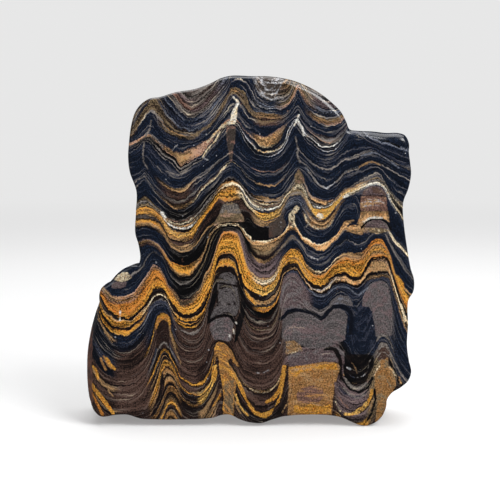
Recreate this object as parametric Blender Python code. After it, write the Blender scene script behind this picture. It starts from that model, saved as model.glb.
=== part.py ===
"""A stromatolite freeform: one slab of banded stone, polished all over, standing on a flat-cut base.

The slab is a loft. One outline, drawn where the front rim is widest, is carried back through the
thickness as a row of closed rings: the rounded front rim, the sides, the rounder back rim and the
gently lumpy back. The underside is cut flat at the back and rises into shallow arches at the front.
"""

import math

import bmesh
import bpy
import numpy as np
from mathutils import Vector, noise

MM = 0.001

# Driving dimensions, in millimetres.
FRONT_Y = -28.0  # plane of the flat polished face
HEIGHT = 227.0
BASE_THICKNESS = 56.0
TOP_THICKNESS = 36.0
BACK_RADIUS = 12.0  # rounding between the sides and the back
BACK_RADIUS_AT_BASE = 4.0
SIDE_BULGE = 1.2  # how far the sides swell between the two rims
FALL_AT_CROWN = 0.06  # slope at which upper surfaces fall towards the back, at the crown
FALL_AT_BASE = 0.27  # and the slope that it grows to near the base
SIDE_TAPER = 0.03  # slope at which the sides draw in towards the back
UNDERCUT_SLOPE = 0.22  # fall of the underside, from the front arches back to the flat cut
UNDERCUT_REACH = 9.0  # height up to which the whole edge follows that fall
FLANK_LEAN = 4.6  # how far the polished face stops short of the lower left flank
FLANK_DEPTH = 15.0  # depth over which that flank leans outwards
BACK_CENTRE = (3.0, 84.0)  # x and z that the inner rings of the back close on
LUMP_HEIGHT = 1.3
LUMP_LENGTH = 38.0

# Faceting of the solid.
POINTS_AROUND = 168
FRONT_RIM_STEPS = 4
SIDE_STEPS = 7
BACK_RIM_STEPS = 4
BACK_INNER_RINGS = (0.80, 0.60, 0.40, 0.20)

# The outline, clockwise as seen from the front, as stretches of one closed smooth curve.
# Each stretch has the radius of its polished front rim and its points (x, z).
OUTLINE = (
    # lower left flank
    (3.4, ((-97, 6), (-103, 9.5), (-106, 15.5), (-107, 25.5), (-107, 37.5), (-106.5, 49.5), (-104.5, 62))),
    # left shoulder and the notch behind it
    (2.6, ((-101.5, 72.5), (-98.5, 80.5), (-97.5, 87), (-95.5, 91.5), (-90, 95.5))),
    (2.4, ((-85.5, 100.5), (-81, 104), (-76, 106), (-72, 106.5), (-70.5, 110.5))),
    # upper left side
    (2.2, ((-71.5, 119.5), (-73.5, 127), (-73, 140), (-72.5, 154), (-76.5, 166))),
    (2.6, ((-77.5, 175), (-77, 184.5), (-75.5, 195.5), (-73, 204), (-69, 209.5), (-63.5, 213))),
    # crown
    (2.6, ((-57, 214), (-47, 217), (-35, 219), (-25, 222.5), (-18.5, 225.5))),
    (3.4, ((-12, 227), (0, 227), (10.5, 227), (19, 226))),
    (5.0, ((28, 224), (37, 220.5), (45, 216), (52, 210.5), (58, 204.5), (61.5, 198))),
    # step down to the right lobe
    (3.2, ((63.5, 193.5), (69, 192.5))),
    (6.5, ((78, 192), (87, 191), (94.5, 191), (99, 189.5))),
    # right side
    (3.0, ((101.5, 184.5), (101.5, 178.5), (102.5, 170.5), (103, 164.5), (101.5, 156))),
    (2.2, ((98.5, 148), (98, 142.5), (99, 131.5), (101, 118), (103.5, 104.5))),
    (2.6, ((106, 95.5), (105.5, 89), (102.5, 83.5), (102, 77), (102.5, 68.5), (102, 53.5))),
    # right foot
    (2.8, ((103.5, 43), (105, 36), (103, 30), (98, 25.5), (92.5, 22), (89.5, 17.5), (89, 13))),
    (2.6, ((86, 6), (80.5, 1.5), (74, 0), (67, 2.5))),
    # wavy front edge of the base
    (2.0, ((59, 6), (49, 7.5), (33, 7.5), (22.5, 6.5), (15, 4.5), (7.5, 2), (0, 2.5), (-6.5, 4.5))),
    (2.0, ((-12.5, 7.5), (-18, 7.5), (-24.5, 5.5), (-39, 4.5), (-62, 4.5), (-71, 5), (-79.5, 7.5), (-87, 7.5))),
)

# Shallow natural hollows of the back: x, z, radius, depth.
HOLLOWS = ((-52, 62, 30, 4.0), (46, 138, 24, 3.2), (58, 40, 20, 2.8), (-28, 172, 18, 2.2))


def smooth_step(low, high, value):
    t = np.clip((value - low) / (high - low), 0.0, 1.0)
    return t * t * (3.0 - 2.0 * t)


def closed_curve(points, samples=24):
    """A centripetal Catmull-Rom curve through the points, which keeps tight turns free of loops."""
    before, start = np.roll(points, 1, axis=0), points
    end, after = np.roll(points, -1, axis=0), np.roll(points, -2, axis=0)

    def knot_gap(a, b):
        return np.sqrt(np.hypot(*(b - a)[:, :2].T))[:, None]

    t1 = knot_gap(before, start)
    t2 = t1 + knot_gap(start, end)
    t3 = t2 + knot_gap(end, after)
    curve = []
    for share in np.arange(samples) / samples:
        t = t1 + (t2 - t1) * share
        a1 = (t1 - t) / t1 * before + t / t1 * start
        a2 = (t2 - t) / (t2 - t1) * start + (t - t1) / (t2 - t1) * end
        a3 = (t3 - t) / (t3 - t2) * end + (t - t2) / (t3 - t2) * after
        b1 = (t2 - t) / t2 * a1 + t / t2 * a2
        b2 = (t3 - t) / (t3 - t1) * a2 + (t - t1) / (t3 - t1) * a3
        curve.append((t2 - t) / (t2 - t1) * b1 + (t - t1) / (t2 - t1) * b2)
    return np.stack(curve, axis=1).reshape(-1, points.shape[1])


def evenly_spaced(curve, count):
    steps = np.hypot(*(np.roll(curve, -1, axis=0) - curve)[:, :2].T)
    along = np.concatenate([[0.0], np.cumsum(steps)])
    closed = np.vstack([curve, curve[:1]])
    wanted = np.arange(count) / count * along[-1]
    return np.stack([np.interp(wanted, along, column) for column in closed.T], axis=1)


def blurred(values, spread):
    """Values around the closed outline, averaged with their neighbours over about spread samples."""
    reach = math.ceil(3 * spread)
    offsets = np.arange(-reach, reach + 1)
    weights = np.exp(-0.5 * (offsets / spread) ** 2)
    return sum(w * np.roll(values, k, axis=0) for w, k in zip(weights / weights.sum(), offsets))


def outline(count):
    """Points, rim radii and inward directions around the slab, evenly spaced."""
    points = np.array([(x, z, rim) for rim, stretch in OUTLINE for x, z in stretch], float)
    loop = evenly_spaced(closed_curve(points), count)
    tangent = np.roll(loop, -1, axis=0)[:, :2] - np.roll(loop, 1, axis=0)[:, :2]
    inward = np.stack([tangent[:, 1], -tangent[:, 0]], axis=1)
    inward = blurred(inward, count / 110)
    inward /= np.hypot(*inward.T)[:, None]
    return loop[:, :2], blurred(loop[:, 2], count / 120), inward


def thickness(z):
    return BASE_THICKNESS + (TOP_THICKNESS - BASE_THICKNESS) * np.clip(z / HEIGHT, 0.0, 1.0)


def back_radius(z):
    return BACK_RADIUS_AT_BASE + (BACK_RADIUS - BACK_RADIUS_AT_BASE) * smooth_step(0.0, 34.0, z)


def flank_lean(x, z, depth):
    """Inset of the lower left flank, which leans outwards behind the polished face."""
    on_flank = smooth_step(-88.0, -100.0, x) * smooth_step(4.0, 18.0, z) * smooth_step(92.0, 66.0, z)
    return on_flank * FLANK_LEAN * np.clip(1.0 - depth / FLANK_DEPTH, 0.0, 1.0)


def draw_in(z, inward, past_rim):
    """Inset that grows with depth: steep where the edge faces up, slight where it faces sideways."""
    fall = FALL_AT_BASE + (FALL_AT_CROWN - FALL_AT_BASE) * z / HEIGHT
    facing_up = np.clip(-inward[:, 1], 0.0, 1.0)
    clear_of_base = smooth_step(2.0, 20.0, z)
    return past_rim * clear_of_base * (SIDE_TAPER + (fall - SIDE_TAPER) * facing_up)


def underside(z, past_rim):
    """The height z of the front edge, carried back past the rim and cut off at the flat base."""
    follows = np.exp(-np.clip(z - UNDERCUT_REACH, 0.0, None) / UNDERCUT_REACH)
    fall = np.minimum(UNDERCUT_SLOPE * past_rim, UNDERCUT_REACH)
    return np.maximum(z - fall * follows, 0.0)


def lumps(points):
    return np.array([noise.noise(Vector(p) / LUMP_LENGTH) for p in points])


def hollows(x, z):
    depth = np.zeros_like(x)
    for hollow_x, hollow_z, radius, deep in HOLLOWS:
        depth += deep * np.exp(-((x - hollow_x) ** 2 + (z - hollow_z) ** 2) / (0.5 * radius**2))
    return depth


def back_surface(x, z):
    lump = lumps(np.stack([x, np.full_like(x, 90.0), z], axis=1))
    return FRONT_Y + thickness(z) - hollows(x, z) + LUMP_HEIGHT * lump


def ring(around, depth, front_inset=0.0, back_inset=0.0, swell=0.0):
    """One closed section: the outline, inset, cut off at the base and set at its depth."""
    loop, rim, inward = around
    past_rim = np.maximum(depth - rim, 0.0)
    inset = front_inset + flank_lean(loop[:, 0], loop[:, 1], depth) + draw_in(loop[:, 1], inward, past_rim)
    facing_sideways = 1.0 - np.clip(-inward[:, 1], 0.0, 1.0)
    inset -= SIDE_BULGE * swell * facing_sideways * smooth_step(6.0, 40.0, loop[:, 1])
    section = loop + inward * inset[:, None]
    section[:, 1] = underside(section[:, 1], past_rim)
    section += inward * np.broadcast_to(back_inset, rim.shape)[:, None]
    points = np.stack([section[:, 0], FRONT_Y + depth, section[:, 1]], axis=1)
    push = LUMP_HEIGHT * swell * smooth_step(4.0, 20.0, points[:, 2]) * lumps(points)
    points[:, 0] -= inward[:, 0] * push
    points[:, 2] -= inward[:, 1] * push
    return points


def depth_of_back(around, radius):
    """Depth of the back where its edge lies, which is inset by the back radius."""
    edge = ring(around, thickness(around[0][:, 1]), back_inset=radius)
    return back_surface(edge[:, 0], edge[:, 2]) - FRONT_Y


def side_rings():
    """Rings from the edge of the polished face to the edge of the back."""
    around = outline(POINTS_AROUND)
    loop, rim, _ = around
    radius = back_radius(loop[:, 1])
    rear = depth_of_back(around, radius)
    rings = []
    for step in range(FRONT_RIM_STEPS + 1):
        turn = math.radians(90.0 * step / FRONT_RIM_STEPS)
        rings.append(ring(around, rim * (1 - math.cos(turn)), front_inset=rim * (1 - math.sin(turn))))
    for step in range(1, SIDE_STEPS + 1):
        share = step / (SIDE_STEPS + 1)
        depth = rim + (rear - radius - rim) * share
        rings.append(ring(around, depth, swell=math.sin(math.pi * share)))
    for step in range(BACK_RIM_STEPS + 1):
        turn = math.radians(90.0 * step / BACK_RIM_STEPS)
        depth = rear - radius * (1 - math.sin(turn))
        rings.append(ring(around, depth, back_inset=radius * (1 - math.cos(turn))))
    return rings


def back_rings(edge):
    """Rings that close the back, from its edge towards its centre."""
    centre = np.array(BACK_CENTRE)
    rings = []
    for share in BACK_INNER_RINGS:
        flat = centre + (edge[:, [0, 2]] - centre) * share
        rings.append(np.stack([flat[:, 0], back_surface(*flat.T), flat[:, 1]], axis=1))
    return rings


def slab_mesh():
    rings = side_rings()
    rings += back_rings(rings[-1])
    mesh = bmesh.new()
    loops = [[mesh.verts.new(point * MM) for point in points] for points in rings]
    for front, back in zip(loops, loops[1:]):
        for i, corner in enumerate(front):
            j = (i + 1) % POINTS_AROUND
            mesh.faces.new((corner, back[i], back[j], front[j]))
    mesh.faces.new(loops[0])
    x, z = BACK_CENTRE
    centre = mesh.verts.new(Vector((x, back_surface(np.array([x]), np.array([z]))[0], z)) * MM)
    for i, corner in enumerate(loops[-1]):
        mesh.faces.new((corner, centre, loops[-1][(i + 1) % POINTS_AROUND]))
    bmesh.ops.recalc_face_normals(mesh, faces=mesh.faces)
    bmesh.ops.triangulate(mesh, faces=mesh.faces)
    data = bpy.data.meshes.new("stromatolite")
    mesh.to_mesh(data)
    mesh.free()
    return data


def polished_stone():
    material = bpy.data.materials.new("banded_stone")
    material.use_nodes = True
    shader = material.node_tree.nodes["Principled BSDF"]
    shader.inputs["Base Color"].default_value = (0.10, 0.065, 0.04, 1.0)
    shader.inputs["Roughness"].default_value = 0.2
    shader.inputs["Metallic"].default_value = 0.0
    return material


def clear_scene():
    for item in list(bpy.data.objects):
        bpy.data.objects.remove(item, do_unlink=True)


def main():
    clear_scene()
    parts = bpy.data.collections.new("stromatolite_parts")
    bpy.context.scene.collection.children.link(parts)
    data = slab_mesh()
    data.shade_smooth()
    data.set_sharp_from_angle(angle=math.radians(35.0))
    data.materials.append(polished_stone())
    parts.objects.link(bpy.data.objects.new("stromatolite", data))


main()
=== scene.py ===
# %% [markdown]
# # A polished slab of stromatolite
# A stromatolite is rock that grew: mats of microbes trapped and bound a thin bed of mud, again and
# again, and the beds draped over each other in columns and troughs. This piece is one slab of it,
# cut, ground and polished all round, with a flat sawn base to stand on.
# The solid that carries the size is loaded first and never changed. The stone that is shown is
# modelled around the same outline, with a far finer surface, and takes the solid's place.

# %% Load the solid that sets the size
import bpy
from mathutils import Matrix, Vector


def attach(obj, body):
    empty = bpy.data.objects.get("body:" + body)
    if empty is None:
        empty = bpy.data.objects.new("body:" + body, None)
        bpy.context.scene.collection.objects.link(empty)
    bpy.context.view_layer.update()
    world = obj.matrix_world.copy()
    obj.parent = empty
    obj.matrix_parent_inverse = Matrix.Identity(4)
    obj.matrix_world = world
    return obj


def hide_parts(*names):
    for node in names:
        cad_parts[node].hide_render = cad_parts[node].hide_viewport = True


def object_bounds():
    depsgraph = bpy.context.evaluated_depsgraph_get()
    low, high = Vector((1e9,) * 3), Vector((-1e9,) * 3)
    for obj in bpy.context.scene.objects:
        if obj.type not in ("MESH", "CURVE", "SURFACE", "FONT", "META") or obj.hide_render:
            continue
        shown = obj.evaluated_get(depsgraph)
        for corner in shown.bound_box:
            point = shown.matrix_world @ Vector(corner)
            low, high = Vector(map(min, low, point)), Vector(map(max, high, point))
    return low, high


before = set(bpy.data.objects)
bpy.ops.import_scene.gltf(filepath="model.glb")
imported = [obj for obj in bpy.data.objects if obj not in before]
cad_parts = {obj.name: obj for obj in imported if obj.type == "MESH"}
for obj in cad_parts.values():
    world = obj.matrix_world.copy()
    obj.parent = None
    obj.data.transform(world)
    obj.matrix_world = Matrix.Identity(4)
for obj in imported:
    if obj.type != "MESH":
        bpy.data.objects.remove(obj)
solid_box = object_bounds()
print("solid box, mm:", [[round(1000 * value, 1) for value in corner] for corner in solid_box])

# %% [markdown]
# ## The outline
# The outline was drawn where the polished front rim is widest. A broken and ground edge has no
# symmetry and no arcs, so it is a short list of points on a smooth closed curve. The curve is a
# centripetal Catmull-Rom spline, which passes through each point and doesn't loop at tight turns.
# Each stretch of the edge also has its own rim radius, because a hand polisher rounds a high corner
# more than a hollow one.

# %% The outline, in millimetres: rim radius, then points (x, z), clockwise from the front
import math

import bmesh
import bpy
import numpy as np
from mathutils import Vector, kdtree, noise
from mathutils.geometry import delaunay_2d_cdt

MM = 0.001
OUTLINE = (
    # lower left flank
    (3.4, ((-97, 6), (-103, 9.5), (-106, 15.5), (-107, 25.5), (-107, 37.5), (-106.5, 49.5), (-104.5, 62))),
    # left shoulder and the notch behind it
    (2.6, ((-101.5, 72.5), (-98.5, 80.5), (-97.5, 87), (-95.5, 91.5), (-90, 95.5))),
    (2.4, ((-85.5, 100.5), (-81, 104), (-76, 106), (-72, 106.5), (-70.5, 110.5))),
    # upper left side
    (2.2, ((-71.5, 119.5), (-73.5, 127), (-73, 140), (-72.5, 154), (-76.5, 166))),
    (2.6, ((-77.5, 175), (-77, 184.5), (-75.5, 195.5), (-73, 204), (-69, 209.5), (-63.5, 213))),
    # crown
    (2.6, ((-57, 214), (-47, 217), (-35, 219), (-25, 222.5), (-18.5, 225.5))),
    (3.4, ((-12, 227), (0, 227), (10.5, 227), (19, 226))),
    (5.0, ((28, 224), (37, 220.5), (45, 216), (52, 210.5), (58, 204.5), (61.5, 198))),
    # step down to the right lobe
    (3.2, ((63.5, 193.5), (69, 192.5))),
    (6.5, ((78, 192), (87, 191), (94.5, 191), (99, 189.5))),
    # right side
    (3.0, ((101.5, 184.5), (101.5, 178.5), (102.5, 170.5), (103, 164.5), (101.5, 156))),
    (2.2, ((98.5, 148), (98, 142.5), (99, 131.5), (101, 118), (103.5, 104.5))),
    (2.6, ((106, 95.5), (105.5, 89), (102.5, 83.5), (102, 77), (102.5, 68.5), (102, 53.5))),
    # right foot
    (2.8, ((103.5, 43), (105, 36), (103, 30), (98, 25.5), (92.5, 22), (89.5, 17.5), (89, 13))),
    (2.6, ((86, 6), (80.5, 1.5), (74, 0), (67, 2.5))),
    # wavy front edge of the base
    (2.0, ((59, 6), (49, 7.5), (33, 7.5), (22.5, 6.5), (15, 4.5), (7.5, 2), (0, 2.5), (-6.5, 4.5))),
    (2.0, ((-12.5, 7.5), (-18, 7.5), (-24.5, 5.5), (-39, 4.5),
           (-62, 4.5), (-71, 5), (-79.5, 7.5), (-87, 7.5))),
)
print("outline stretches:", len(OUTLINE), "points:", sum(len(points) for _, points in OUTLINE))

# %% Helpers that turn the points into an even ring
POINTS_AROUND = 900
# directions, rim radii and back radii are blurred over one such part of the outline
INWARD_PART, RIM_PART, BACK_PART = 110, 120, 180


def smooth_step(low, high, value):
    t = np.clip((value - low) / (high - low), 0.0, 1.0)
    return t * t * (3.0 - 2.0 * t)


def closed_curve(points, samples=24):
    before, start = np.roll(points, 1, axis=0), points
    end, after = np.roll(points, -1, axis=0), np.roll(points, -2, axis=0)

    def knot_gap(a, b):
        return np.sqrt(np.hypot(*(b - a)[:, :2].T))[:, None]

    t1 = knot_gap(before, start)
    t2 = t1 + knot_gap(start, end)
    t3 = t2 + knot_gap(end, after)
    curve = []
    for share in np.arange(samples) / samples:
        t = t1 + (t2 - t1) * share
        a1 = (t1 - t) / t1 * before + t / t1 * start
        a2 = (t2 - t) / (t2 - t1) * start + (t - t1) / (t2 - t1) * end
        a3 = (t3 - t) / (t3 - t2) * end + (t - t2) / (t3 - t2) * after
        b1 = (t2 - t) / t2 * a1 + t / t2 * a2
        b2 = (t3 - t) / (t3 - t1) * a2 + (t - t1) / (t3 - t1) * a3
        curve.append((t2 - t) / (t2 - t1) * b1 + (t - t1) / (t2 - t1) * b2)
    return np.stack(curve, axis=1).reshape(-1, points.shape[1])


def evenly_spaced(curve, count):
    steps = np.hypot(*(np.roll(curve, -1, axis=0) - curve)[:, :2].T)
    along = np.concatenate([[0.0], np.cumsum(steps)])
    closed = np.vstack([curve, curve[:1]])
    wanted = np.arange(count) / count * along[-1]
    return np.stack([np.interp(wanted, along, column) for column in closed.T], axis=1)


def blurred(values, spread):
    reach = math.ceil(3 * spread)
    offsets = np.arange(-reach, reach + 1)
    weights = np.exp(-0.5 * (offsets / spread) ** 2)
    return sum(w * np.roll(values, k, axis=0) for w, k in zip(weights / weights.sum(), offsets))


def outline(count):
    points = np.array([(x, z, rim) for rim, stretch in OUTLINE for x, z in stretch], float)
    loop = evenly_spaced(closed_curve(points), count)
    tangent = np.roll(loop, -1, axis=0)[:, :2] - np.roll(loop, 1, axis=0)[:, :2]
    inward = np.stack([tangent[:, 1], -tangent[:, 0]], axis=1)
    inward = blurred(inward, count / INWARD_PART)
    inward /= np.hypot(*inward.T)[:, None]
    return loop[:, :2], blurred(loop[:, 2], count / RIM_PART), inward


around = outline(POINTS_AROUND)
edge_length = np.hypot(*(np.roll(around[0], -1, axis=0) - around[0]).T).sum()
print(f"edge length {edge_length:.0f} mm, a point each {edge_length / POINTS_AROUND:.2f} mm")

# %% [markdown]
# ## The slab's sections
# From front to back the outline becomes a row of closed rings: a quarter round at the polished
# front rim, slightly swelling sides that draw in towards the back, and a fuller round into the
# back. The underside is sawn flat, and its front edge rises in shallow arches where the slab was
# ground. The solid has the same rules, with a point where this stone has about five.

# %% Sizes of the section, in millimetres
FRONT_Y = -28.0
HEIGHT = 227.0
BASE_THICKNESS = 56.0
TOP_THICKNESS = 36.0
BACK_RADIUS = 12.0
BACK_RADIUS_AT_BASE = 4.0
SIDE_BULGE = 1.2
FALL_AT_CROWN = 0.06
FALL_AT_BASE = 0.27
SIDE_TAPER = 0.03
UNDERCUT_SLOPE = 0.22
UNDERCUT_REACH = 9.0
FLANK_LEAN = 4.6
FLANK_DEPTH = 15.0
LUMP_HEIGHT = 1.3
LUMP_LENGTH = 38.0
HOLLOWS = ((-52, 62, 30, 4.0), (46, 138, 24, 3.2), (58, 40, 20, 2.8), (-28, 172, 18, 2.2))
LUMP_SLICE_Y = 90.0
BACK_RADIUS_FULL_AT = 34.0
FLANK_X = (-88.0, -100.0)
FLANK_FOOT = (4.0, 18.0)
FLANK_TOP = (92.0, 66.0)
TAPER_FROM = (2.0, 20.0)
BULGE_FROM = (6.0, 40.0)
LUMPS_FROM = (4.0, 20.0)
FRONT_RIM_STEPS = 7
SIDE_STEPS = 13
BACK_RIM_STEPS = 6

# %% Rules of the section


def thickness(z):
    return BASE_THICKNESS + (TOP_THICKNESS - BASE_THICKNESS) * np.clip(z / HEIGHT, 0.0, 1.0)


def back_radius(z):
    grown = smooth_step(0.0, BACK_RADIUS_FULL_AT, z)
    return BACK_RADIUS_AT_BASE + (BACK_RADIUS - BACK_RADIUS_AT_BASE) * grown


def flank_lean(x, z, depth):
    on_flank = smooth_step(*FLANK_X, x) * smooth_step(*FLANK_FOOT, z) * smooth_step(*FLANK_TOP, z)
    return on_flank * FLANK_LEAN * np.clip(1.0 - depth / FLANK_DEPTH, 0.0, 1.0)


def draw_in(z, inward, past_rim):
    fall = FALL_AT_BASE + (FALL_AT_CROWN - FALL_AT_BASE) * z / HEIGHT
    facing_up = np.clip(-inward[:, 1], 0.0, 1.0)
    clear_of_base = smooth_step(*TAPER_FROM, z)
    return past_rim * clear_of_base * (SIDE_TAPER + (fall - SIDE_TAPER) * facing_up)


def underside(z, past_rim):
    follows = np.exp(-np.clip(z - UNDERCUT_REACH, 0.0, None) / UNDERCUT_REACH)
    fall = np.minimum(UNDERCUT_SLOPE * past_rim, UNDERCUT_REACH)
    return np.maximum(z - fall * follows, 0.0)


def lumps(points, length=LUMP_LENGTH):
    return np.array([noise.noise(Vector(p) / length) for p in points])


def back_surface(x, z):
    hollow = np.zeros_like(x)
    for hollow_x, hollow_z, radius, deep in HOLLOWS:
        hollow += deep * np.exp(-((x - hollow_x) ** 2 + (z - hollow_z) ** 2) / (0.5 * radius**2))
    lump = lumps(np.stack([x, np.full_like(x, LUMP_SLICE_Y), z], axis=1))
    return FRONT_Y + thickness(z) - hollow + LUMP_HEIGHT * lump


def ring(depth, front_inset=0.0, back_inset=0.0, swell=0.0):
    loop, rim, inward = around
    past_rim = np.maximum(depth - rim, 0.0)
    inset = front_inset + flank_lean(loop[:, 0], loop[:, 1], depth) + draw_in(loop[:, 1], inward, past_rim)
    facing_sideways = 1.0 - np.clip(-inward[:, 1], 0.0, 1.0)
    inset -= SIDE_BULGE * swell * facing_sideways * smooth_step(*BULGE_FROM, loop[:, 1])
    section = loop + inward * inset[:, None]
    section[:, 1] = underside(section[:, 1], past_rim)
    section += inward * np.broadcast_to(back_inset, rim.shape)[:, None]
    points = np.stack([section[:, 0], FRONT_Y + depth, section[:, 1]], axis=1)
    push = LUMP_HEIGHT * swell * smooth_step(*LUMPS_FROM, points[:, 2]) * lumps(points)
    points[:, 0] -= inward[:, 0] * push
    points[:, 2] -= inward[:, 1] * push
    return points


# %% The rings, front to back
CORNER_SHARE = 0.5


def corner_limit(radius):
    """The back radius, cut down where the outline turns so tightly that a ring would cross itself."""
    inward = around[2]
    after = np.roll(inward, -1, axis=0)
    turn = inward[:, 1] * after[:, 0] - inward[:, 0] * after[:, 1]
    curvature = turn * POINTS_AROUND / edge_length
    tightest = CORNER_SHARE / np.maximum(curvature, CORNER_SHARE / radius)
    return blurred(tightest, POINTS_AROUND / BACK_PART)


def side_rings():
    loop, rim, _ = around
    radius = corner_limit(back_radius(loop[:, 1]))
    edge = ring(thickness(loop[:, 1]), back_inset=radius)
    rear = back_surface(edge[:, 0], edge[:, 2]) - FRONT_Y
    rings = []
    for step in range(FRONT_RIM_STEPS + 1):
        turn = math.radians(90.0 * step / FRONT_RIM_STEPS)
        rings.append(ring(rim * (1 - math.cos(turn)), front_inset=rim * (1 - math.sin(turn))))
    for step in range(1, SIDE_STEPS + 1):
        share = step / (SIDE_STEPS + 1)
        rings.append(ring(rim + (rear - radius - rim) * share, swell=math.sin(math.pi * share)))
    for step in range(BACK_RIM_STEPS + 1):
        turn = math.radians(90.0 * step / BACK_RIM_STEPS)
        rings.append(ring(rear - radius * (1 - math.sin(turn)), back_inset=radius * (1 - math.cos(turn))))
    return rings


rings = side_rings()
print("rings:", len(rings), "points in the rings:", len(rings) * POINTS_AROUND)

# %% [markdown]
# ## Closing the front and the back
# The polished face is flat, so one big polygon would give its shape. But the bands of the stone are
# carried by values stored at the points, so the face needs a point about every millimetre. A net of
# points in a hexagonal pattern is laid inside the edge, and a Delaunay triangulation joins it to
# the edge without slivers. The back has a coarser net, pressed onto its lumps and hollows.

# %% Fill a closed edge with a net of triangles
FACE_NET = 0.86
BACK_NET = 2.6
FACE_CENTRE_SHARE = 0.6


def net_inside(loop, spacing):
    """Rows of points inside the loop, each at least a good half spacing from its edge."""
    edge_tree = kdtree.KDTree(len(loop))
    for i, (x, z) in enumerate(loop):
        edge_tree.insert((x, z, 0.0), i)
    edge_tree.balance()
    start, end = loop, np.roll(loop, -1, axis=0)
    points = []
    heights = np.arange(loop[:, 1].min() + spacing / 2, loop[:, 1].max(), spacing * math.sqrt(3) / 2)
    for row, z in enumerate(heights):
        crosses = (start[:, 1] > z) != (end[:, 1] > z)
        share = (z - start[crosses, 1]) / (end[crosses, 1] - start[crosses, 1])
        edges = np.sort(start[crosses, 0] + share * (end[crosses, 0] - start[crosses, 0]))
        for left, right in zip(edges[::2], edges[1::2]):
            first = math.ceil(left / spacing) + (0.5 if row % 2 else 0.0)
            for x in np.arange(first * spacing, right, spacing):
                if edge_tree.find((x, z, 0.0))[2] > FACE_CENTRE_SHARE * spacing:
                    points.append((x, z))
    return np.array(points)


def filled(loop, spacing):
    """The net's own points, and triangles over the loop's points followed by the net's."""
    net = net_inside(loop, spacing)
    points = [Vector(p) for p in np.vstack([loop, net])]
    edges = [(i, (i + 1) % len(loop)) for i in range(len(loop))]
    out = delaunay_2d_cdt(points, edges, [], 1, 1e-7)
    source = [ids[0] for ids in out[3]]
    return net, [[source[i] for i in face] for face in out[2]]


def slab_points_and_faces():
    points = list(rings)
    faces = []
    count = POINTS_AROUND
    following = np.roll(np.arange(count), -1)
    for front in range(len(rings) - 1):
        a, b = front * count, (front + 1) * count
        faces += [(a + i, b + i, b + j, a + j) for i, j in enumerate(following)]
    total = len(rings) * count
    front_net, front_faces = filled(rings[0][:, [0, 2]], FACE_NET)
    points.append(np.stack([front_net[:, 0], np.full(len(front_net), FRONT_Y), front_net[:, 1]], axis=1))
    faces += [[i if i < count else i - count + total for i in face] for face in front_faces]
    total += len(front_net)
    last = (len(rings) - 1) * count
    back_net, back_faces = filled(rings[-1][:, [0, 2]], BACK_NET)
    points.append(np.stack([back_net[:, 0], back_surface(*back_net.T), back_net[:, 1]], axis=1))
    faces += [[i + last if i < count else i - count + total for i in face] for face in back_faces]
    return np.vstack(points), faces


stone_points, stone_faces = slab_points_and_faces()
# a finer curve bulges a little past a coarse one, so it is kept inside the solid's box
low, high = np.array(solid_box) / MM
stone_points = np.clip(stone_points, low, high)
print("points:", len(stone_points), "faces:", len(stone_faces))

# %% [markdown]
# ## The contacts between the beds
# Each contact is the surface of the growing mound at one moment, seen edge on. On the polished
# face it is a line that sags in the troughs and arches over the columns. The contacts are given
# as points (x, z) on the face, from the highest to the lowest, and a monotone cubic joins them,
# because it never swings past its points where a limb is steep. Between two contacts the bed's
# age runs evenly from one to the next, so every bed thins and thickens with the fold by itself.

# %% How a row of places is written
def places(text):
    """Turns "3,40 5.5,42" into an array of (x, z) in millimetres."""
    return np.array([pair.split(",") for pair in text.split()], float)


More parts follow.
